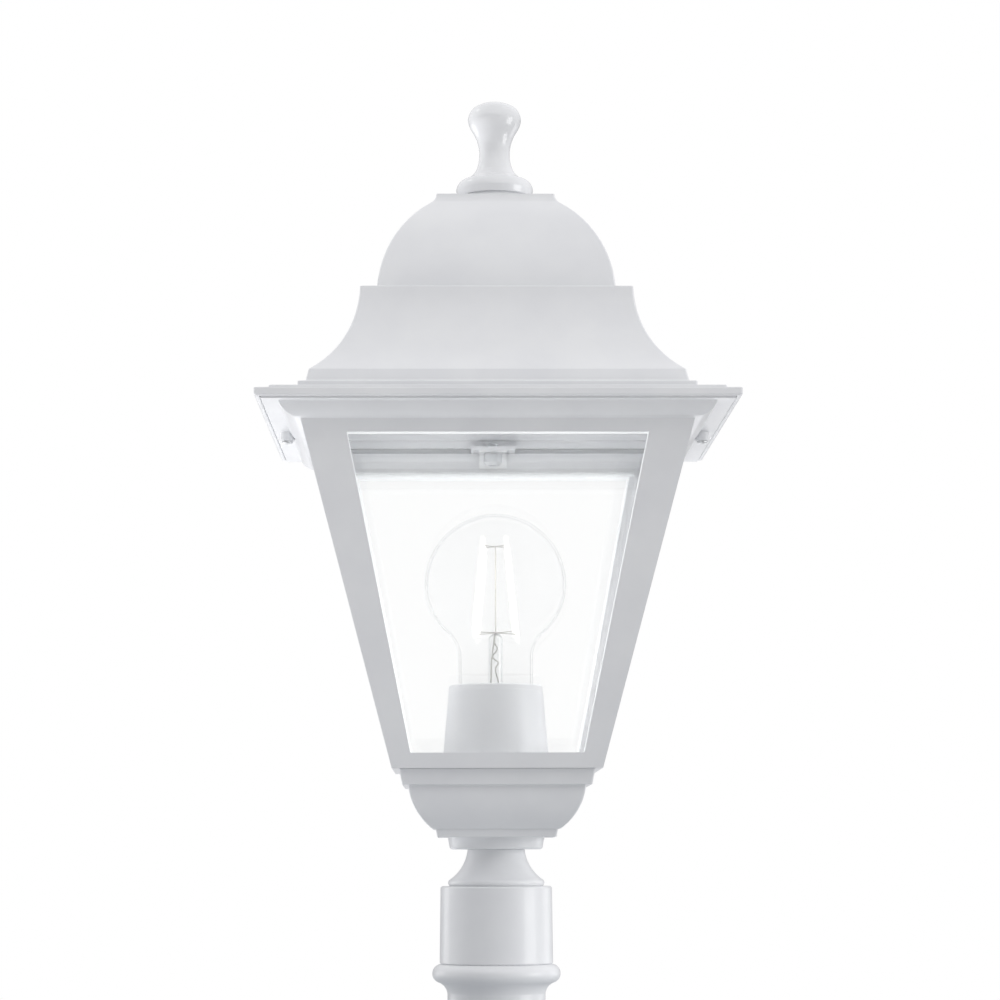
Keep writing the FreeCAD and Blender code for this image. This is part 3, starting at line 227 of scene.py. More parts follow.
def makeBlownGlass(name, shade, clear, rim):
    # blown glass of under a millimetre, too thin to bend what is behind it: clear in the middle,
    # with a thin grey outline where the eye looks along the wall, and slow ripples
    return makeMaterial(name, {"Base Color": linear(shade), "IOR": 1.5}, [
        ("lean", "ShaderNodeLayerWeight", {"Blend": 0.5}),
        ("wall", rangeNode, {"Value": "lean.Facing", "From Min": blown["outline"], "From Max": 1,
                             "To Min": clear, "To Max": rim}, smoothStep),
        ("dust", noiseNode, {"Vector": "place", "Scale": 1 / (blown["dust"] * mm)}),
        ("gloss", rangeNode, {"Value": "dust", **middle, "To Min": 0.02, "To Max": 0.06}),
        ("ripple", noiseNode,
         {"Vector": "place", "Scale": 1 / (blown["ripple"] * mm), "Detail": 1}),
        ("rippleBump", bumpNode,
         {"Height": "ripple", "Distance": blown["depth"] * mm, "Strength": 1}),
    ], {"Alpha": "wall", "Roughness": "gloss", "Normal": "rippleBump"})


# sizes of the dust's patches and of the ripples, and the ripples' depth
drawn = {"dust": 8, "ripple": 9, "depth": 0.05}


def makeSolidGlass(name, shade):
    # drawn lead glass, solid and fire polished: it bends what is behind it into bright and grey
    # streaks
    clear = {"Base Color": linear(shade), "IOR": 1.5, "Transmission Weight": 1}
    return makeMaterial(name, clear, [
        ("dust", noiseNode, {"Vector": "place", "Scale": 1 / (drawn["dust"] * mm)}),
        ("gloss", rangeNode, {"Value": "dust", **middle, "To Min": 0, "To Max": 0.02}),
        ("ripple", noiseNode,
         {"Vector": "place", "Scale": 1 / (drawn["ripple"] * mm), "Detail": 1}),
        ("rippleBump", bumpNode,
         {"Height": "ripple", "Distance": drawn["depth"] * mm, "Strength": 1}),
    ], {"Roughness": "gloss", "Normal": "rippleBump"})


phosphorGrain = 0.55  # size of the powder's clumps


def makePhosphor(name, dark, light, glow):
    # the filaments' phosphor in silicone: pale yellow and slightly rough, nearly white when lit
    return makeMaterial(name, {"Emission Color": linear("#FFFDF8"), "Emission Strength": glow}, [
        ("grain", noiseNode, {"Vector": "place", "Scale": 1 / (phosphorGrain * mm)}),
        ("share", rangeNode, {"Value": "grain", **middle}),
        ("colour", mixNode, {0: "share", 6: linear(dark), 7: linear(light)}, mixedColour),
        ("gloss", rangeNode, {"Value": "grain", "To Min": 0.5, "To Max": 0.6}),
    ], {"Base Color": "colour.2", "Roughness": "gloss"})


materials = {
    "white_paint": makeEnamel("whiteCastingEnamel", "#ECEDEF", "#F2F3F4", (0.30, 0.42), 0.012),
    "white_gloss_paint": makeEnamel("whiteGlossEnamel", "#EDEEF0", "#F2F3F4", (0.12, 0.2), 0.005),
    # painted light: the strips' white enamel is a shade lighter than the castings', for the light
    # they catch
    "white_strip": makeEnamel("brightenedStripEnamel", "#F3F4F5", "#F8F9F9", (0.32, 0.44), 0.008),
    # painted shade: the screws' white enamel is made a darker grey, for the shade their heads are
    # seen in
    "white_screw_paint": makeEnamel("shadedGreyScrewEnamel", "#C9CBCE", "#D3D5D7", (0.3, 0.42), 0.008),
    # the panes' border band glows with painted light of strength 0.42
    "clear_glass": makePane("clearFloatGlass", 0.12, 0.42),
    "bulb_glass": makeBlownGlass("blownBulbGlass", "#D4D7D9", 0.03, 0.4),
    "stemGlass": makeSolidGlass("drawnStemGlass", "#FBFCFC"),
    "stainless_steel": makeMetal("stainlessSteel", "#D3D4D5", "#E2E3E4", (0.34, 0.46), 0.004),
    "zinc_steel": makeMetal("zincPlatedSteel", "#ABACA6", "#C2C3BC", (0.28, 0.42), 0.005),
    "brass": makeMetal("drawnBrass", "#B08A3E", "#CFAA58", (0.24, 0.36), 0.004),
    "nickel_cap": makeMetal("nickelPlatedBrass", "#B7B5AF", "#CECCC6", (0.18, 0.3), 0.004),
    "solder": makeMetal("tinSolder", "#9A9C9E", "#B4B6B8", (0.3, 0.45), 0.02),
    "nickel_wire": makeMetal("nickelWire", "#B9B6B2", "#D0CDC9", (0.4, 0.5), 0.002),
    "white_nylon": makeMoulded("whiteNylon", "#E2E2DD", "#EAEAE5", (0.5, 0.6), 0.004),
    "white_plastic": makeMoulded("mouldedWhitePlastic", "#ECEDEF", "#F2F3F4", (0.34, 0.44), 0.004),
    "porcelain": makeMoulded("glazedPorcelain", "#F0EFEA", "#F7F6F2", (0.06, 0.12), 0.003, 0.5),
    "lead_sleeving": makeMoulded("fibreSleeving", "#DEDBD0", "#EAE8DF", (0.6, 0.75), 0.02),
    "seal_rubber": makeMoulded("whiteSilicone", "#DDDEDF", "#E6E7E8", (0.5, 0.62), 0.01),
    "black_glass": makeMoulded("blackVitrite", "#121014", "#1B181D", (0.08, 0.16), 0.003),
    "filament_phosphor": makePhosphor("filamentPhosphor", "#FBF5E4", "#FFFDF6", 1.2),
}
print("materials made:", len(materials))


# how outlines are traced: an arc's step, the bend from which a corner counts as sharp, the share of
# a side that its round may take and the round's steps; a shorter length than "least" is none
tracing = {"arcStep": 4.5, "sharp": 16, "share": 0.42, "roundSteps": 4, "least": 1e-6}


def arcPoints(start, end, radius):
    # from start to end round a centre on the left of the way (radius > 0) or its right
    chord = Vector((end[0] - start[0], end[1] - start[1]))
    reach = math.sqrt(max(radius * radius - chord.length_squared / 4, 0))
    side = 1 if radius > 0 else -1
    across = Vector((-chord.y, chord.x)).normalized() * reach * side
    centre = Vector(((start[0] + end[0]) / 2, (start[1] + end[1]) / 2)) + across
    first = math.atan2(start[1] - centre.y, start[0] - centre.x)
    last = math.atan2(end[1] - centre.y, end[0] - centre.x)
    turn = (last - first) % (2 * math.pi) if side > 0 else -((first - last) % (2 * math.pi))
    steps = max(3, math.ceil(abs(turn) / math.radians(tracing["arcStep"])))
    angles = [first + turn * i / steps for i in range(1, steps)]
    return [(centre.x + abs(radius) * math.cos(angle), centre.y + abs(radius) * math.sin(angle))
            for angle in angles] + [end[:2]]


def traceOutline(corners, soften):
    # corners are (w, z) or (w, z, radius of the arc that leads there); sharp ones get a small round
    points, before = [], corners[-1]
    for corner in corners:
        points += arcPoints(before, corner, corner[2]) if len(corner) > 2 else [corner]
        before = corner
    points = [Vector(point) for point in points]
    result = []
    for i, point in enumerate(points):
        back, ahead = point - points[i - 1], points[(i + 1) % len(points)] - point
        least = min(abs(point.x), back.length, ahead.length)
        bend = 0 if least < tracing["least"] else back.angle(ahead)
        if bend < math.radians(tracing["sharp"]):
            result.append(point)
            continue
        trim = min(soften * math.tan(bend / 2), tracing["share"] * back.length,
                   tracing["share"] * ahead.length)
        start, end = point - back.normalized() * trim, point + ahead.normalized() * trim
        for step in range(tracing["roundSteps"] + 1):
            t = step / tracing["roundSteps"]
            result.append(start * (1 - t) ** 2 + point * 2 * t * (1 - t) + end * t * t)
    return result


# points closer together than these are one, in metres: in a sweep, in a copied node, along an edge;
# and faces of a copied node that bend by less than "flat" degrees are one
weld = {"sweep": 2e-6, "copy": 3e-6, "edge": 1e-7, "flat": 0.6}
threadFade = 0.6  # over which a thread runs out at each end


def openTree(name, inputs, result):
    # a geometry tree with named inputs; gives the tree and its inputs' sockets by name
    tree = bpy.data.node_groups.new(name, "GeometryNodeTree")
    for socket, kind in inputs.items():
        tree.interface.new_socket(socket, in_out="INPUT", socket_type="NodeSocket" + kind)
    tree.interface.new_socket(result, in_out="OUTPUT", socket_type="NodeSocketGeometry")
    given = addNode(tree, "NodeGroupInput", (-12, 3))
    return tree, {socket: given.outputs[socket] for socket in inputs}


def buildSweepTree():
    # an outline swept round the axis, on a round or a square plan, with a thread if one is
    # asked for
    tree, known = openTree("outlineSweep", {
        "Outline": "Geometry", "Corner Radius": "Float", "Corner Steps": "Int",
        "Thread Depth": "Float", "Thread Pitch": "Float", "Thread Foot": "Float",
        "Thread Head": "Float", "Finish": "Material"}, "Swept")
    addRows(tree, known, [
        # a grid with one row for each point of the outline and one column for each step round
        # the plan
        ("rows", "GeometryNodeAttributeDomainSize", {"Geometry": "Outline"}),
        ("perCorner", mathNode, {0: "Corner Steps", 1: 1}, "ADD"),
        ("columns", mathNode, {0: "perCorner", 1: 4}, "MULTIPLY"),
        ("rowsAndOne", mathNode, {0: "rows", 1: 1}, "ADD"),
        ("columnsAndOne", mathNode, {0: "columns", 1: 1}, "ADD"),
        ("grid", "GeometryNodeMeshGrid", {"Vertices X": "columnsAndOne",
                                          "Vertices Y": "rowsAndOne"}),
        ("index", "GeometryNodeInputIndex", {}),
        ("gridRow", mathNode, {0: "index", 1: "rowsAndOne"}, "MODULO"),
        ("row", mathNode, {0: "gridRow", 1: "rows"}, "MODULO"),
        ("gridColumn", mathNode, {0: "index", 1: "rowsAndOne"}, "DIVIDE"),
        ("wholeColumn", mathNode, {0: "gridColumn"}, "FLOOR"),
        ("column", mathNode, {0: "wholeColumn", 1: "columns"}, "MODULO"),
        ("place", "GeometryNodeInputPosition", {}),
        ("sample", "GeometryNodeSampleIndex",
         {"Geometry": "Outline", "Value": "place", "Index": "row"},
         {"data_type": "FLOAT_VECTOR", "domain": "POINT"}),
        ("outline", "ShaderNodeSeparateXYZ", {0: "sample"}),
        # the corner that a column belongs to, and the angle of its step there
        ("cornerShare", mathNode, {0: "column", 1: "perCorner"}, "DIVIDE"),
        ("corner", mathNode, {0: "cornerShare"}, "FLOOR"),
        ("cornerStart", mathNode, {0: "corner", 1: "perCorner"}, "MULTIPLY"),
        ("step", mathNode, {0: "column", 1: "cornerStart"}, "SUBTRACT"),
        ("stepShare", mathNode, {0: "step", 1: "Corner Steps"}, "DIVIDE"),
        ("quarters", mathNode, {0: "corner", 1: "stepShare"}, "ADD"),
        ("turn", mathNode, {0: "quarters", 1: math.pi / 2}, "MULTIPLY"),
        ("cornerMiddle", mathNode, {0: "corner", 1: 0.5}, "ADD"),
        ("diagonal", mathNode, {0: "cornerMiddle", 1: math.pi / 2}, "MULTIPLY"),
        # thread: a wave that climbs with the turn and runs out at both ends
        ("climb", mathNode, {0: "outline.Z", 1: 2 * math.pi}, "MULTIPLY"),
        ("turnsUp", mathNode, {0: "climb", 1: "Thread Pitch"}, "DIVIDE"),
        ("phase", mathNode, {0: "turnsUp", 1: "turn"}, "SUBTRACT"),
        ("wave", mathNode, {0: "phase"}, "COSINE"),
        ("footEnd", mathNode, {0: "Thread Foot", 1: threadFade * mm}, "ADD"),
        ("headStart", mathNode, {0: "Thread Head", 1: threadFade * mm}, "SUBTRACT"),
        ("above", rangeNode,
         {"Value": "outline.Z", "From Min": "Thread Foot", "From Max": "footEnd"}),
        ("below", rangeNode,
         {"Value": "outline.Z", "From Min": "Thread Head", "From Max": "headStart"}),
        ("groove", mathNode, {0: "wave", 1: 1}, "SUBTRACT"),
        ("cut", mathNode, {0: "groove", 1: "Thread Depth"}, "MULTIPLY"),
        ("cutAbove", mathNode, {0: "cut", 1: "above"}, "MULTIPLY"),
        ("dip", mathNode, {0: "cutAbove", 1: "below"}, "MULTIPLY"),
        ("reach", mathNode, {0: "outline.X", 1: "dip"}, "ADD"),
        ("wide", mathNode, {0: "reach", 1: 0}, "MAXIMUM"),
        # round corners on the square plan; a radius above the half width makes the plan round
        ("radius", mathNode, {0: "Corner Radius", 1: "wide"}, "MINIMUM"),
        ("straight", mathNode, {0: "wide", 1: "radius"}, "SUBTRACT"),
        ("toCorner", mathNode, {0: "straight", 1: math.sqrt(2)}, "MULTIPLY"),
        ("turnX", mathNode, {0: "turn"}, "COSINE"),
        ("turnY", mathNode, {0: "turn"}, "SINE"),
        ("cornerX", mathNode, {0: "diagonal"}, "COSINE"),
        ("cornerY", mathNode, {0: "diagonal"}, "SINE"),
        ("middleX", mathNode, {0: "toCorner", 1: "cornerX"}, "MULTIPLY"),
        ("middleY", mathNode, {0: "toCorner", 1: "cornerY"}, "MULTIPLY"),
        ("x", mathNode, {0: "radius", 1: "turnX", 2: "middleX"}, "MULTIPLY_ADD"),
        ("y", mathNode, {0: "radius", 1: "turnY", 2: "middleY"}, "MULTIPLY_ADD"),
        ("spot", "ShaderNodeCombineXYZ", {"X": "x", "Y": "y", "Z": "outline.Z"}),
        ("moved", "GeometryNodeSetPosition", {"Geometry": "grid", "Position": "spot"}),
        ("joined", "GeometryNodeMergeByDistance",
         {"Geometry": "moved", "Distance": weld["sweep"]}),
        ("smooth", "GeometryNodeSetShadeSmooth", {"Geometry": "joined"}),
        ("real", "GeometryNodeRealizeInstances", {"Geometry": "smooth"}),
        ("painted", "GeometryNodeSetMaterial", {"Geometry": "real", "Material": "Finish"}),
        ("out", "NodeGroupOutput", {"Swept": "painted"}),
    ])
    return tree


def buildCopiesTree():
    # copies of one piece, turned round the axis by equal steps
    tree, known = openTree("turnedCopies", {
        "Piece": "Geometry", "Count": "Int", "First Turn": "Float", "Step Turn": "Float",
        "Finish": "Material"}, "Copies")
    addRows(tree, known, [
        ("spots", "GeometryNodePoints", {"Count": "Count"}),
        ("index", "GeometryNodeInputIndex", {}),
        ("turn", mathNode, {0: "index", 1: "Step Turn", 2: "First Turn"}, "MULTIPLY_ADD"),
        ("spin", "ShaderNodeCombineXYZ", {"Z": "turn"}),
        ("way", "FunctionNodeEulerToRotation", {0: "spin"}),
        ("copies", "GeometryNodeInstanceOnPoints",
         {"Points": "spots", "Instance": "Piece", "Rotation": "way"}),
        ("real", "GeometryNodeRealizeInstances", {"Geometry": "copies"}),
        ("painted", "GeometryNodeSetMaterial", {"Geometry": "real", "Material": "Finish"}),
        ("out", "NodeGroupOutput", {"Copies": "painted"}),
    ])
    return tree


sweepTree = buildSweepTree()
copiesTree = buildCopiesTree()


def addObject(name, data):
    piece = bpy.data.objects.new(name, data)
    bpy.context.scene.collection.objects.link(piece)
    return piece


def fillModifier(piece, tree, inputs):
    # a geometry tree on the piece, with its inputs given by name
    modifier = piece.modifiers.new("shape", "NODES")
    modifier.node_group = tree
    for item in tree.interface.items_tree:
        if item.in_out == "INPUT" and item.name in inputs:
            modifier[item.identifier] = inputs[item.name]


def finalMesh(piece):
    # the evaluated shape of a piece as a new mesh
    bpy.context.view_layer.update()
    evaluated = piece.evaluated_get(bpy.context.evaluated_depsgraph_get())
    return bpy.data.meshes.new_from_object(evaluated)


def settle(piece):
    # the piece as a plain mesh, with no modifier left
    shape = finalMesh(piece)
    piece.modifiers.clear()
    piece.data = shape
    return piece


def weighFlats(piece):
    # flat faces keep their flat shading beside rounded edges
    piece.modifiers.new("flats", "WEIGHTED_NORMAL").keep_sharp = True
    return settle(piece)


def tidyMesh(piece):
    # no point-like faces or loose edges, and every face looks outward
    mesh = bmesh.new()
    mesh.from_mesh(piece.data)
    bmesh.ops.dissolve_degenerate(mesh, edges=mesh.edges, dist=weld["edge"])
    loose = [edge for edge in mesh.edges if not edge.link_faces]
    bmesh.ops.delete(mesh, geom=loose, context="EDGES")
    bmesh.ops.recalc_face_normals(mesh, faces=mesh.faces)
    mesh.to_mesh(piece.data)
    mesh.free()


def meshObject(name, mesh, finish=None):
    # a finished bmesh as a piece of one material, or of none if it is a cutter
    shape = bpy.data.meshes.new(name)
    mesh.to_mesh(shape)
    mesh.free()
    if finish:
        shape.materials.append(materials[finish])
    return addObject(name, shape)


def wireMesh(name, points):
    # a closed outline as a mesh of edges
    shape = bpy.data.meshes.new(name)
    edges = [(i, (i + 1) % len(points)) for i in range(len(points))]
    shape.from_pydata([(point.x * mm, 0, point.y * mm) for point in points], edges, [])
    return shape


def rungs(corners, step):
    # more corners on the long straight runs, so that a thread can follow them
    result = []
    for i, corner in enumerate(corners):
        last = corners[i - 1]
        if i and len(corner) == 2 and abs(corner[1] - last[1]) > 4 * step:
            count = int(abs(corner[1] - last[1]) / step)
            result += [(last[0] + (corner[0] - last[0]) * k / count,
                        last[1] + (corner[1] - last[1]) * k / count) for k in range(1, count)]
        result.append(corner)
    return result


roundPlan = 1000.0  # a corner radius above every half width
noThread = {"depth": 0, "pitch": 1, "foot": 0, "head": 1, "rung": 0}


def sweep(name, finish, corners, soften, cornerRadius=roundPlan, steps=16, thread=noThread,
          weighted=True):
    # one closed outline swept round the axis, with so many steps to a quarter; a corner radius
    # below the half width makes a square plan, and a thread climbs between its foot and its head
    if thread["rung"]:
        corners = rungs(corners, thread["rung"])
    piece = addObject(name, wireMesh(name, traceOutline(corners, soften)))
    fillModifier(piece, sweepTree, {
        "Corner Radius": cornerRadius * mm, "Corner Steps": steps, "Finish": materials[finish],
        "Thread Depth": thread["depth"] * mm, "Thread Pitch": thread["pitch"] * mm,
        "Thread Foot": thread["foot"] * mm, "Thread Head": thread["head"] * mm})
    settle(piece)
    tidyMesh(piece)
    return weighFlats(piece) if weighted else piece


def turnedCopies(piece, name, slot, count, first=0.0):
    # the piece repeated round the axis, the first copy turned by so many degrees
    piece.name = piece.data.name = name
    fillModifier(piece, copiesTree, {"Count": count, "First Turn": math.radians(first),
                                     "Step Turn": 2 * math.pi / count, "Finish": materials[slot]})
    return settle(piece)


def prism(name, finish, outline, reach):
    # an outline in the upright plane of Y and Z, pushed both ways along X
    mesh = bmesh.new()
    ends = [[mesh.verts.new((x * mm, y * mm, z * mm)) for y, z in outline]
            for x in (-reach, reach)]
    mesh.faces.new(ends[0])
    mesh.faces.new(ends[1])
    for i in range(len(outline)):
        mesh.faces.new((ends[0][i - 1], ends[0][i], ends[1][i], ends[1][i - 1]))
    bmesh.ops.recalc_face_normals(mesh, faces=mesh.faces)
    return meshObject(name, mesh, finish)


def bar(sides, radius, start, end, finish=None):
    # a straight bar along Z with so many sides; with no finish it is a cutter
    mesh = bmesh.new()
    bmesh.ops.create_cone(mesh, cap_ends=True, segments=sides, radius1=radius * mm,
                          radius2=radius * mm, depth=(end - start) * mm)
    mesh.transform(Matrix.Translation((0, 0, (start + end) / 2 * mm)))
    return meshObject("bar", mesh, finish)


def bentWire(name, finish, points, radius):
    # a thin wire along a smooth line near the points, with closed ends
    line = bpy.data.curves.new(name, "CURVE")
    line.dimensions, line.bevel_depth = "3D", radius * mm
    line.bevel_resolution, line.use_fill_caps = 1, True
    spline = line.splines.new("NURBS")
    spline.points.add(len(points) - 1)
    for spot, point in zip(spline.points, points):
        spot.co = (*[part * mm for part in point], 1)
    spline.order_u, spline.use_endpoint_u, spline.resolution_u = 3, True, 6
    curve = addObject(name, line)
    shape = finalMesh(curve)
    bpy.data.objects.remove(curve)
    shape.materials.clear()
    shape.materials.append(materials[finish])
    piece = addObject(name, shape)
    tidyMesh(piece)
    return piece


def easeEdges(piece, edge, segments=2, bend=40):
    # small rounds on the edges that bend by more than so many degrees
    softened = piece.modifiers.new("edges", "BEVEL")
    softened.width, softened.segments = edge * mm, segments
    softened.limit_method, softened.angle_limit = "ANGLE", math.radians(bend)
    softened.use_clamp_overlap = True
    for face in piece.data.polygons:
        face.use_smooth = True
    return weighFlats(piece)


def carve(piece, cutter, edge):
    # the cutter taken out of the piece, and the edges eased
    cut = piece.modifiers.new("cut", "BOOLEAN")
    cut.object, cut.operation, cut.solver = cutter, "DIFFERENCE", "EXACT"
    settle(piece)
    bpy.data.objects.remove(cutter)
    return easeEdges(piece, edge)


def moved(piece, x=0.0, y=0.0, z=0.0, lay=False):
    # to its place; a laid piece's own Z points along +X
    way = Matrix.Rotation(math.pi / 2, 4, "Y") if lay else Matrix()
    piece.data.transform(Matrix.Translation((x * mm, y * mm, z * mm)) @ way)
    return piece


def joinPieces(name, pieces):
    # several finished meshes as one piece
    mesh = bmesh.new()
    finishes = []
    for piece in pieces:
        for slot in piece.data.materials:
            if slot not in finishes:
                finishes.append(slot)
    shape = bpy.data.meshes.new(name)
    for finish in finishes:
        shape.materials.append(finish)
    for piece in pieces:
        start = len(mesh.faces)
        mesh.from_mesh(piece.data)
        mesh.faces.ensure_lookup_table()
        for face in mesh.faces[start:]:
            face.material_index = finishes.index(piece.data.materials[face.material_index])
    mesh.to_mesh(shape)
    mesh.free()
    for piece in pieces:
        bpy.data.objects.remove(piece)
    return weighFlats(addObject(name, shape))


def hand(piece, slot, *nodes):
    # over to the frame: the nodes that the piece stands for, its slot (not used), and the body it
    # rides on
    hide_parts(*nodes)
    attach(piece, bodyOf[nodes[0]])


def handSweep(name, node, slot, shape):
    # one swept piece in its node's slot
    hand(sweep(name, slot, **shape), slot, node)


def handCopies(piece, name, node, slot, count, first=0.0):
    # a ring of equal pieces in their node's slot
    hand(turnedCopies(piece, name, slot, count, first), slot, node)


def roundedCopy(node, name, slot, edge, segments=3, bend=30):
    # the CAD node's own shape with its loose triangles joined and its edges rounded
    mesh = bmesh.new()
    mesh.from_mesh(frame["nodes"][node].data)
    bmesh.ops.remove_doubles(mesh, verts=mesh.verts, dist=weld["copy"])
    bmesh.ops.dissolve_limit(mesh, angle_limit=math.radians(weld["flat"]), verts=mesh.verts,
                             edges=mesh.edges)
    for face in mesh.faces:
        face.smooth = True
        face.material_index = 0
    piece = meshObject(name, mesh, slot)
    easeEdges(piece, edge, segments, bend)
    hand(piece, slot, node)


roof = {
    "plate": {
        "corners": [
            (96.2, 267.9), (96.8, 268.6), (96.8, 271.3), (91.2, 271.3), (91.2, 273.1),
            (80.3, 273.1), (80.3, 276.6), (78.6, 276.6), (77, 278.2, -1.6), (76.1, 282),
            (56.2, 320, -48.7), (49.5, 320), (26.8, 361.8, 56.9), (25.0, 365.7, -6),
            (3.25, 365.7), (3.25, 363.7), (23.0, 363.7), (24.8, 361.8), (47.5, 318, -54.9),
            (54.2, 318), (74.1, 282, 50.7), (75, 274.6), (78.3, 274.6), (78.3, 271.1),
            (89.2, 271.1), (89.2, 269.5), (94.8, 269.5), (94.8, 267.9),
        ],
        "soften": 0.55, "cornerRadius": 0.9, "steps": 4,
    },
    "seat": {
        "corners": [(3.25, 365.0), (15.9, 365.0), (15.5, 365.7), (14.5, 369.4), (3.25, 369.4)],
        "soften": 0.4,
    },
    "post": {
        "corners": [(1.75, 269.2), (3.3, 269.2), (3.3, 272.0), (1.75, 272.0)],
        "soften": 0.2, "steps": 6,
    },
    "postPlace": 88.6, "posts": 2,
}
plate = sweep("roofPlate", "white_paint", **roof["plate"])
seat = sweep("roofSeat", "white_paint", **roof["seat"])
post = moved(sweep("roofPost", "white_paint", **roof["post"]), roof["postPlace"])
posts = turnedCopies(post, "roofPosts", "white_paint", roof["posts"])
hand(joinPieces("domedRoof", [plate, seat, posts]), "white_paint", "roof")

seal = {
    "corners": [(80.3, 268.9), (84.7, 268.9), (84.7, 271.1), (80.3, 271.1)],
    "soften": 0.5, "cornerRadius": 3, "steps": 6,
}
handSweep("roofSeal", "roof_seal", "seal_rubber", seal)
print("roof done")


finial = {
    "foot": 369.4,
    "raised": [  # heights above the foot
        (3.05, 0), (15.9, 0), (16.6, 2.9), (13.9, 7.3, 5), (7.9, 12.2, -9.3), (9.8, 29.5, -18.4),
        (11.5, 34, 12), (7.6, 40.4, 7.2), (0, 42.1, 17.84), (0, 14.05), (3.05, 14.05),
    ],
    "soften": 0.35,
}
corners = [(w, z + finial["foot"], *radius) for w, z, *radius in finial["raised"]]
handSweep("turnedFinial", "finial", "white_gloss_paint",
          {"corners": corners, "soften": finial["soften"]})
print("finial done")


bowl = {
    "cup": {
        "corners": [
            (24.6, 95), (25.3, 98.4), (26.4, 98.4), (36.5, 116.2, 25), (38.9, 116.2),
            (40.2, 122.8), (38, 122.8), (36.7, 118.4), (34.3, 118.4), (34.3, 116.2),
            (23.1, 97.2, -22.8), (5.2, 97.2), (5.2, 95),
        ],
        "soften": 0.45, "cornerRadius": 0.8, "steps": 4,
    },
    "disc": {
        "corners": [
            (5.2, 90), (18.4, 90), (19.6, 91.2, 1.2), (20.3, 95), (20.3, 95.3), (5.2, 95.3),
        ],
        "soften": 0.3,
    },
    "post": {
        "corners": [(2.25, 109.8), (4.5, 109.8), (4.5, 122.8), (2.25, 122.8)],
        "soften": 0.2, "steps": 6,
    },
    "postPlace": (29, 29), "posts": 4,
}
cup = sweep("cup", "white_paint", **bowl["cup"])
disc = sweep("disc", "white_paint", **bowl["disc"])
post = moved(sweep("bowlPost", "white_paint", **bowl["post"]), *bowl["postPlace"])
posts = turnedCopies(post, "bowlPosts", "white_paint", bowl["posts"])
hand(joinPieces("squareBowl", [cup, disc, posts]), "white_paint", "bowl")

collar = {
    "corners": [
        (21, 42.4), (23.15, 42.4), (23.75, 43), (23.4, 74.1), (22.8, 74.7), (19.4, 74.7),
        (19.4, 77.5, 1.6), (12, 90, -17.2), (5.2, 90), (5.2, 87), (9, 87), (9, 77.5),
        (18.5, 71.7), (18.5, 60.7), (21, 60.7),
    ],
    "soften": 0.35,
}
handSweep("turnedCollar", "collar", "white_paint", collar)

postRing = {
    "corners": [
        (17.75, 0), (20.5, 0), (20.5, 30), (24.4, 34.9, -5.6), (23.4, 42.4, 3.9), (20.7, 42.4),
        (20.7, 59.8), (20.1, 60.4), (12, 60.4), (12, 36), (17.75, 36),
    ],
    "soften": 0.4,
}
handSweep("beadRing", "post_ring", "white_paint", postRing)
print("turned castings done")


castFrame = {"edge": 0.35}
roundedCopy("frame", "castFrame", "white_paint", castFrame["edge"])
print("frame casting done")


# a cutter is its number of sides, its radius and the levels of its ends
stops = {
    "place": 70.9, "count": 4,
    "strip": {
        "outline": [
            (-67.4, 268.9), (-76.1, 268.9), (-76.1, 261.6), (-75.3, 261.6), (-75.3, 268.1),
            (-67.4, 268.1),
        ],
        "reach": 6.3,
    },
    "hole": (48, 2.55, 267, 270), "stripEdge": 0.15,
    "washer": {
        "corners": [(2.55, 267.3), (4.1, 267.3), (4.1, 268.1), (2.55, 268.1)],
        "soften": 0.15, "steps": 10,
    },
    "screw": {
        "corners": [
            (0, 262.3), (2.8, 262.3), (4.1, 263.6), (4.1, 267.3), (2.3, 267.3), (2.3, 272.2),
            (1.8, 272.7), (0, 272.7),
        ],
        "soften": 0.25, "steps": 10,
    },
    "socket": (6, 2.2, 260, 264.7), "socketEdge": 0.1,
}
hole = moved(bar(*stops["hole"]), y=-stops["place"])
strip = carve(prism("paneStop", "white_strip", **stops["strip"]), hole, stops["stripEdge"])
handCopies(strip, "paneStops", "pane_stops", "white_strip", stops["count"])
washer = moved(sweep("stopWasher", "stainless_steel", **stops["washer"]), y=-stops["place"])
handCopies(washer, "stopWashers", "stop_washers", "stainless_steel", stops["count"])
screw = sweep("stopScrew", slotOf["stop_screws"], **stops["screw"])
screw = moved(carve(screw, bar(*stops["socket"]), stops["socketEdge"]), y=-stops["place"])
handCopies(screw, "stopScrews", "stop_screws", slotOf["stop_screws"], stops["count"])

socketEdge = 0.08  # round of a small screw's edges
screws = {
    "roof_screws": {
        "name": "roofScrews", "place": (88.6, 0), "count": 2, "socket": (6, 1.15, 261, 262.9),
        "shape": {
            "corners": [
                (0, 262.2), (2.0, 262.2), (2.3, 262.6), (2.3, 263.4), (1.5, 263.4), (1.5, 271.6),
                (1.2, 271.9), (0, 271.9),
            ],
            "soften": 0.15, "steps": 10,
        },
    },
    "frame_screws": {
        "name": "frameScrews", "place": (29, 29), "count": 4, "socket": (6, 1.8, 126.2, 129),
        "shape": {
            "corners": [
                (0, 115.4), (1.7, 115.4), (2.0, 115.8), (2.0, 125.4), (3.6, 125.4), (3.6, 127.5),
                (3.3, 127.8), (0, 127.8),
            ],
            "soften": 0.15, "steps": 10,
        },
    },
}
for node, sizes in screws.items():
    screw = sweep(sizes["name"], slotOf[node], **sizes["shape"])
    screw = moved(carve(screw, bar(*sizes["socket"]), socketEdge), *sizes["place"])
    handCopies(screw, sizes["name"], node, slotOf[node], sizes["count"])

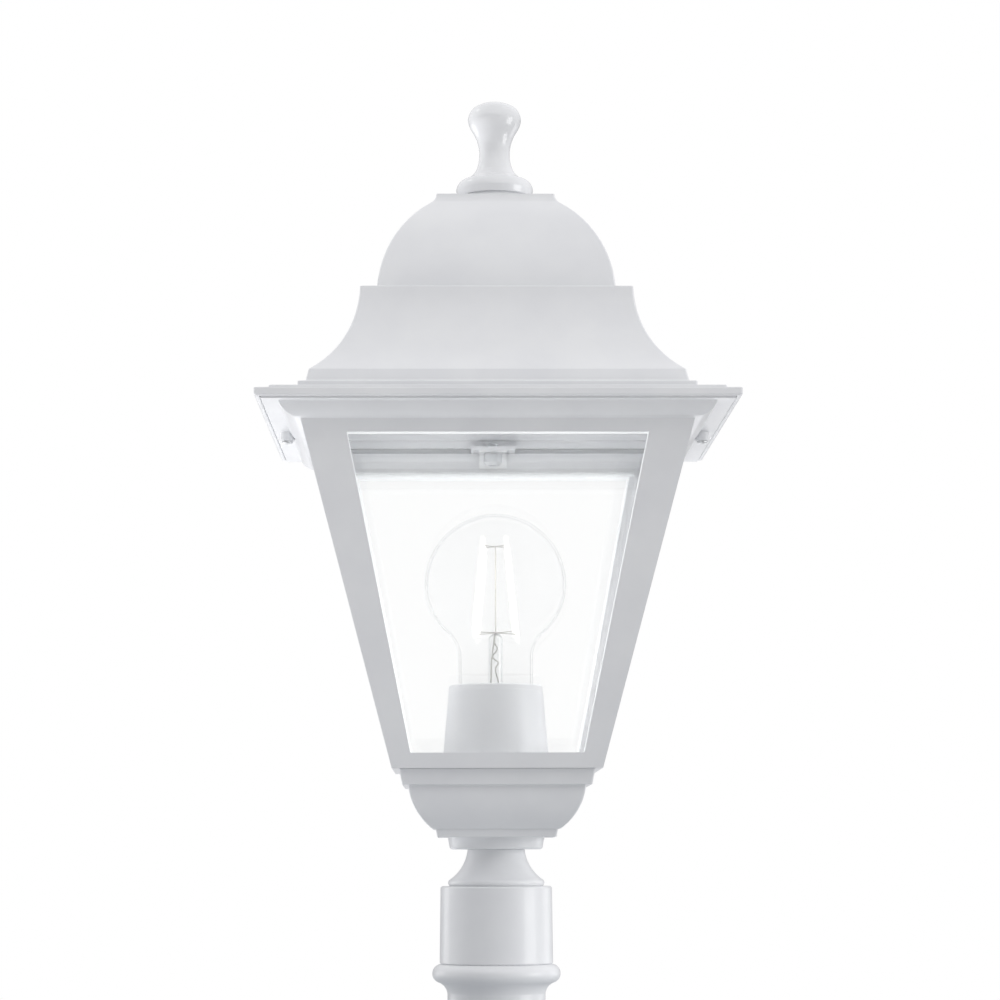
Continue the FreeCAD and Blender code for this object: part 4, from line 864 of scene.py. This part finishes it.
grubs = {
    # level, inner end and outer end of each pair
    "collar_screws": {"name": "collarGrubs", "level": 51.4, "start": 20.7, "end": 23.1},
    "post_screws": {"name": "postGrubs", "level": 12.0, "start": 18.05, "end": 20.2},
}
grubSize = {"radius": 2.5, "point": 0.3, "rim": 0.25, "socket": (6, 1.4), "socketDepth": 1.5,
            "soften": 0.1, "steps": 10, "count": 2}
for node, sizes in grubs.items():
    radius, start, end = grubSize["radius"], sizes["start"], sizes["end"]
    corners = [
        (0, start), (radius - grubSize["point"], start), (radius, start + grubSize["point"]),
        (radius, end - grubSize["rim"]), (radius - grubSize["rim"], end), (0, end),
    ]
    grub = sweep(sizes["name"], slotOf[node], corners, grubSize["soften"], steps=grubSize["steps"])
    cutter = bar(*grubSize["socket"], end - grubSize["socketDepth"], end + 1)
    grub = moved(carve(grub, cutter, socketEdge), z=sizes["level"], lay=True)
    handCopies(grub, sizes["name"], node, slotOf[node], grubSize["count"])

stud = {
    "corners": [(0, 354.5), (2.6, 354.5), (3, 354.9), (3, 383), (2.6, 383.4), (0, 383.4)],
    "soften": 0.1, "steps": 8,
    "thread": {"depth": 0.16, "pitch": 1.0, "foot": 355, "head": 382.9, "rung": 0.25},
}
handSweep("threadedStud", "finial_stud", "zinc_steel", stud)
tube = {
    "corners": [(3.6, 80.5), (4.5, 80.5), (4.9, 80.9), (4.9, 116.3), (4.5, 116.7), (3.6, 116.7)],
    "soften": 0.1, "steps": 8,
    "thread": {"depth": 0.14, "pitch": 1.0, "foot": 81, "head": 116.2, "rung": 0.25},
}
handSweep("threadedTube", "threaded_tube", slotOf["threaded_tube"], tube)
nuts = {
    # name and edge
    "finial_nut": ("finialNut", 0.35), "finial_washer": ("finialWasher", 0.15),
    "tube_nuts": ("tubeNuts", 0.4), "tube_washer": ("tubeWasher", 0.15),
}
for node, (name, edge) in nuts.items():
    roundedCopy(node, name, slotOf[node], edge, segments=2, bend=40)
print("fasteners done")


holder = {
    "sleeve": {
        "corners": [
            (22.4, 108), (24, 108), (19.75, 158.3), (19.1, 158.9), (17.4, 158.9), (17.4, 157.1),
            (18.25, 157.1),
        ],
        "soften": 0.3,
    },
    "insert": {
        "corners": [(0, 117), (17.2, 117), (17.2, 152), (14.05, 152), (14.05, 122), (0, 122)],
        "soften": 0.6,
    },
    "shell": {
        "corners": [(13.45, 126), (13.95, 126), (13.95, 148), (13.45, 148)], "soften": 0.1,
        "thread": {"depth": 0.14, "pitch": 3.629, "foot": 127, "head": 147, "rung": 0.4},
    },
}
handSweep("holderSleeve", "lampholder_sleeve", "white_plastic", holder["sleeve"])
handSweep("holderInsert", "lampholder_insert", "porcelain", holder["insert"])
handSweep("screwShell", "screw_shell", slotOf["screw_shell"], holder["shell"])

bulb = {
    "glass": {
        "corners": [
            (12.5, 147.9), (12.5, 153.9), (15.7, 158.9), (15.7, 170.8), (20.6, 181.4, -14.2),
            (30, 201.8, 26.8), (0, 231.8, 30), (0, 231.0), (29.2, 201.8, -29.2),
            (19.8, 181.4, -26.0), (14.9, 170.8, 15.0), (14.9, 158.9), (11.7, 153.9),
            (11.7, 147.9),
        ],
        "soften": 0.5, "steps": 28, "weighted": False,
    },
    "stem": {
        "corners": [(0, 147.9), (11.4, 147.9), (3, 156.9, -11), (3, 177.9), (0, 180.9, 3)],
        "soften": 0.5, "steps": 10,
    },
    "cap": {
        "corners": [
            (10.4, 131.4), (12.5, 131.4), (13.1, 132), (13.1, 153.9), (12.7, 153.9),
            (12.7, 131.8), (10.4, 131.8),
        ],
        "soften": 0.1,
        "thread": {"depth": 0.45, "pitch": 3.629, "foot": 134, "head": 151, "rung": 0.4},
    },
    "filament": {
        # upright on the axis, before it leans and moves to its foot
        "corners": [(0, 0), (0.6, 0), (0.9, 0.35), (0.9, 36.82), (0.6, 37.17), (0, 37.17)],
        "soften": 0.2, "steps": 5,
    },
    "lean": -7.73, "foot": {"x": 12, "z": 181.2}, "turn": 40, "count": 4,
    # wire radius and its bar's sides; level and length of each spoke; ends of the middle post
    "wire": 0.2, "wireSides": 8, "spokes": ((181.2, 11.2), (218.0, 6.3)), "post": (180.7, 218.2),
    "leads": [
        [(1.3, 0, 149), (1.1, 0.3, 160), (-0.5, -0.6, 166), (1.2, 0.6, 168.4), (-1.5, 0.3, 171),
         (1.0, -0.7, 174.2), (-0.9, 0.4, 177.4), (0, 0, 181)],
        [(-1.5, 0, 149), (-1.4, 0.2, 162), (-1.0, 0, 174), (0, 0, 180.8)],
    ],
}
handSweep("bulbEnvelope", "bulb_glass", "bulb_glass", bulb["glass"])
hand(sweep("bulbStem", "stemGlass", **bulb["stem"]), "bulb_glass", "bulb_stem")
handSweep("bulbCap", "bulb_cap", "nickel_cap", bulb["cap"])
filament = sweep("filament", "filament_phosphor", **bulb["filament"])
filament.data.transform(Matrix.Rotation(math.radians(bulb["lean"]), 4, "Y"))
moved(filament, **bulb["foot"])
handCopies(filament, "bulbFilaments", "bulb_filaments", "filament_phosphor", bulb["count"],
           bulb["turn"])
wire = (bulb["wireSides"], bulb["wire"])
spokes = [moved(bar(*wire, 0, reach, "nickel_wire"), z=level, lay=True)
          for level, reach in bulb["spokes"]]
fan = turnedCopies(joinPieces("spokes", spokes), "spokes", "nickel_wire", bulb["count"],
                   bulb["turn"])
post = bar(*wire, *bulb["post"], "nickel_wire")
leads = [bentWire("lead", "nickel_wire", points, bulb["wire"]) for points in bulb["leads"]]
hand(joinPieces("bulbWires", [fan, post, *leads]), "nickel_wire", "bulb_wires")
print("lampholder and bulb done")


for name, piece in frame["nodes"].items():
    piece.data.materials.clear()
    piece.data.materials.append(materials[slotOf[name]])
print("nodes painted")


# the studio's places and sizes are in metres
studio = {
    "floor": {"solid": 0.12, "gone": 0.36, "sides": 96, "drop": 0.0002,
              "colour": "#BDC0C3", "rough": 0.85},
    # how bright the white surroundings are: a dim front with its middle to the left, bright sides,
    # a softer back; each comes in over its span
    "dimWay": (-0.4, -0.9165, 0.0), "dim": 0.145, "bright": 0.84, "back": 0.32, "top": 0.97,
    "glowWay": (-0.85, 0.53, 0.0), "bottomDim": 0.21, "bottomGlow": 1.98, "tint": "#FDFDFF",
    "spans": {"dim": (0.34, 0.85), "back": (0.35, 0.95), "top": (0.08, 0.65),
              "glow": (-0.6, 0.6), "bottom": (0.0, -0.4)},
    "lights": {
        # name: place, aim, size, power
        "rightPanel": ((0.9, -0.3, 0.12), (0, 0, 0.12), 0.45, 2.4),
        "rightEdge": ((0.75, 0.5, 0.1), (0, 0, 0.1), 0.35, 0.4),
        "leftEdge": ((-0.75, 0.5, 0.1), (0, 0, 0.1), 0.35, 0.6),
        "upperFront": ((0.0, -0.45, 0.75), (0, 0, 0.38), 0.5, 0.3),
        "upperLeft": ((-0.9, 0.25, 1.3), (0, 0, 0.35), 0.25, 0.4),
    },
    "bulbGlow": {"height": 0.2, "radius": 0.02, "power": 0.08},
}


def makeFloor():
    # a pale painted floor that fades into the white backdrop
    sizes = studio["floor"]
    rows = [
        ("apart", "ShaderNodeVectorMath", {0: "place"}, "LENGTH"),
        ("fade", rangeNode, {"Value": "apart.Value", "From Min": sizes["solid"],
                             "From Max": sizes["gone"], "To Min": 1, "To Max": 0}, smoothStep),
    ]
    paint = {"Base Color": linear(sizes["colour"]), "Roughness": sizes["rough"]}
    material = makeMaterial("paleStudioFloor", paint, rows, {"Alpha": "fade"})
    mesh = bmesh.new()
    bmesh.ops.create_circle(mesh, cap_ends=True, radius=sizes["gone"], segments=sizes["sides"])
    floor = meshObject("studioFloor", mesh)
    floor.data.materials.append(material)
    floor.location.z = -sizes["drop"]


def makeWorld():
    # white to the camera and through glass; to everything else a soft box, brighter at its sides
    world = bpy.data.worlds.new("studio")
    world.use_nodes = True
    tree = world.node_tree
    tree.nodes.clear()
    way = addNode(tree, "ShaderNodeTexCoord", (-11, 3)).outputs["Generated"]
    rays = addNode(tree, "ShaderNodeLightPath", (-11, 5)).outputs
    known = {"way": way, "cameraRay": rays["Is Camera Ray"],
             "glassRay": rays["Is Transmission Ray"]}
    span = {name: {"From Min": start, "From Max": end}
            for name, (start, end) in studio["spans"].items()}
    addRows(tree, known, [
        ("toFront", "ShaderNodeVectorMath", {0: "way", 1: studio["dimWay"]}, "DOT_PRODUCT"),
        ("sides", rangeNode, {"Value": "toFront.Value", **span["dim"],
                              "To Min": studio["bright"], "To Max": studio["dim"]}, smoothStep),
        ("spot", "ShaderNodeSeparateXYZ", {0: "way"}),
        ("behind", rangeNode, {"Value": "spot.Y", **span["back"]}, smoothStep),
        ("around", mixNode, {0: "behind", 2: "sides", 3: studio["back"]}),
        ("over", rangeNode, {"Value": "spot.Z", **span["top"]}, smoothStep),
        ("upper", mixNode, {0: "over", 2: "around", 3: studio["top"]}),
        ("toGlow", "ShaderNodeVectorMath", {0: "way", 1: studio["glowWay"]}, "DOT_PRODUCT"),
        ("glow", rangeNode, {"Value": "toGlow.Value", **span["glow"], "To Min": studio["bottomDim"],
                             "To Max": studio["bottomGlow"]}, smoothStep),
        ("under", rangeNode, {"Value": "spot.Z", **span["bottom"]}, smoothStep),
        ("level", mixNode, {0: "under", 2: "upper", 3: "glow"}),
        ("soft", "ShaderNodeBackground", {"Color": linear(studio["tint"]), "Strength": "level"}),
        ("white", "ShaderNodeBackground", {"Color": (1, 1, 1, 1), "Strength": 1}),
        ("seen", mathNode, {0: "cameraRay", 1: "glassRay"}, "MAXIMUM"),
        ("mixed", "ShaderNodeMixShader", {0: "seen", 1: "soft", 2: "white"}),
        ("out", "ShaderNodeOutputWorld", {"Surface": "mixed"}),
    ])
    bpy.context.scene.world = world


def aim(direction):
    # the turn that points an object's -Z along a direction
    return direction.to_track_quat("-Z", "Y")


def makeLights():
    for name, (place, target, size, power) in studio["lights"].items():
        light = bpy.data.lights.new(name, "AREA")
        light.size, light.energy = size, power
        lamp = addObject(name, light)
        lamp.location = place
        lamp.rotation_euler = aim(Vector(target) - Vector(place)).to_euler()
        lamp.visible_camera = False
    # the lit bulb: a soft glow inside the panes
    glow = bpy.data.lights.new("bulbGlow", "POINT")
    glow.energy = studio["bulbGlow"]["power"]
    glow.shadow_soft_size = studio["bulbGlow"]["radius"]
    lamp = addObject("bulbGlow", glow)
    lamp.location.z = studio["bulbGlow"]["height"]
    lamp.visible_camera = lamp.visible_transmission = lamp.visible_glossy = False


# the photograph's view; its clip distances are metres
camera = {"place": (-17.80, -1246.34, 85.18), "azimuth": -0.91, "pitch": 6.99, "roll": -0.15,
          "lens": 105.97, "sensor": 36, "clip": (0.05, 200)}


def makeCamera():
    lens = bpy.data.cameras.new("view")
    lens.sensor_width, lens.lens = camera["sensor"], camera["lens"]
    lens.clip_start, lens.clip_end = camera["clip"]
    azimuth, pitch = math.radians(camera["azimuth"]), math.radians(camera["pitch"])
    ahead = Vector((-math.sin(azimuth) * math.cos(pitch), math.cos(azimuth) * math.cos(pitch),
                    math.sin(pitch)))
    turn = aim(ahead).to_matrix() @ Matrix.Rotation(math.radians(camera["roll"]), 3, "Z")
    eye = addObject("view", lens)
    eye.matrix_world = Matrix.Translation(Vector(camera["place"]) * mm) @ turn.to_4x4()
    bpy.context.scene.camera = eye


makeFloor()
makeWorld()
makeLights()
makeCamera()
bpy.context.scene.view_settings.view_transform = "Standard"
print("studio done")

bpy.context.view_layer.update()
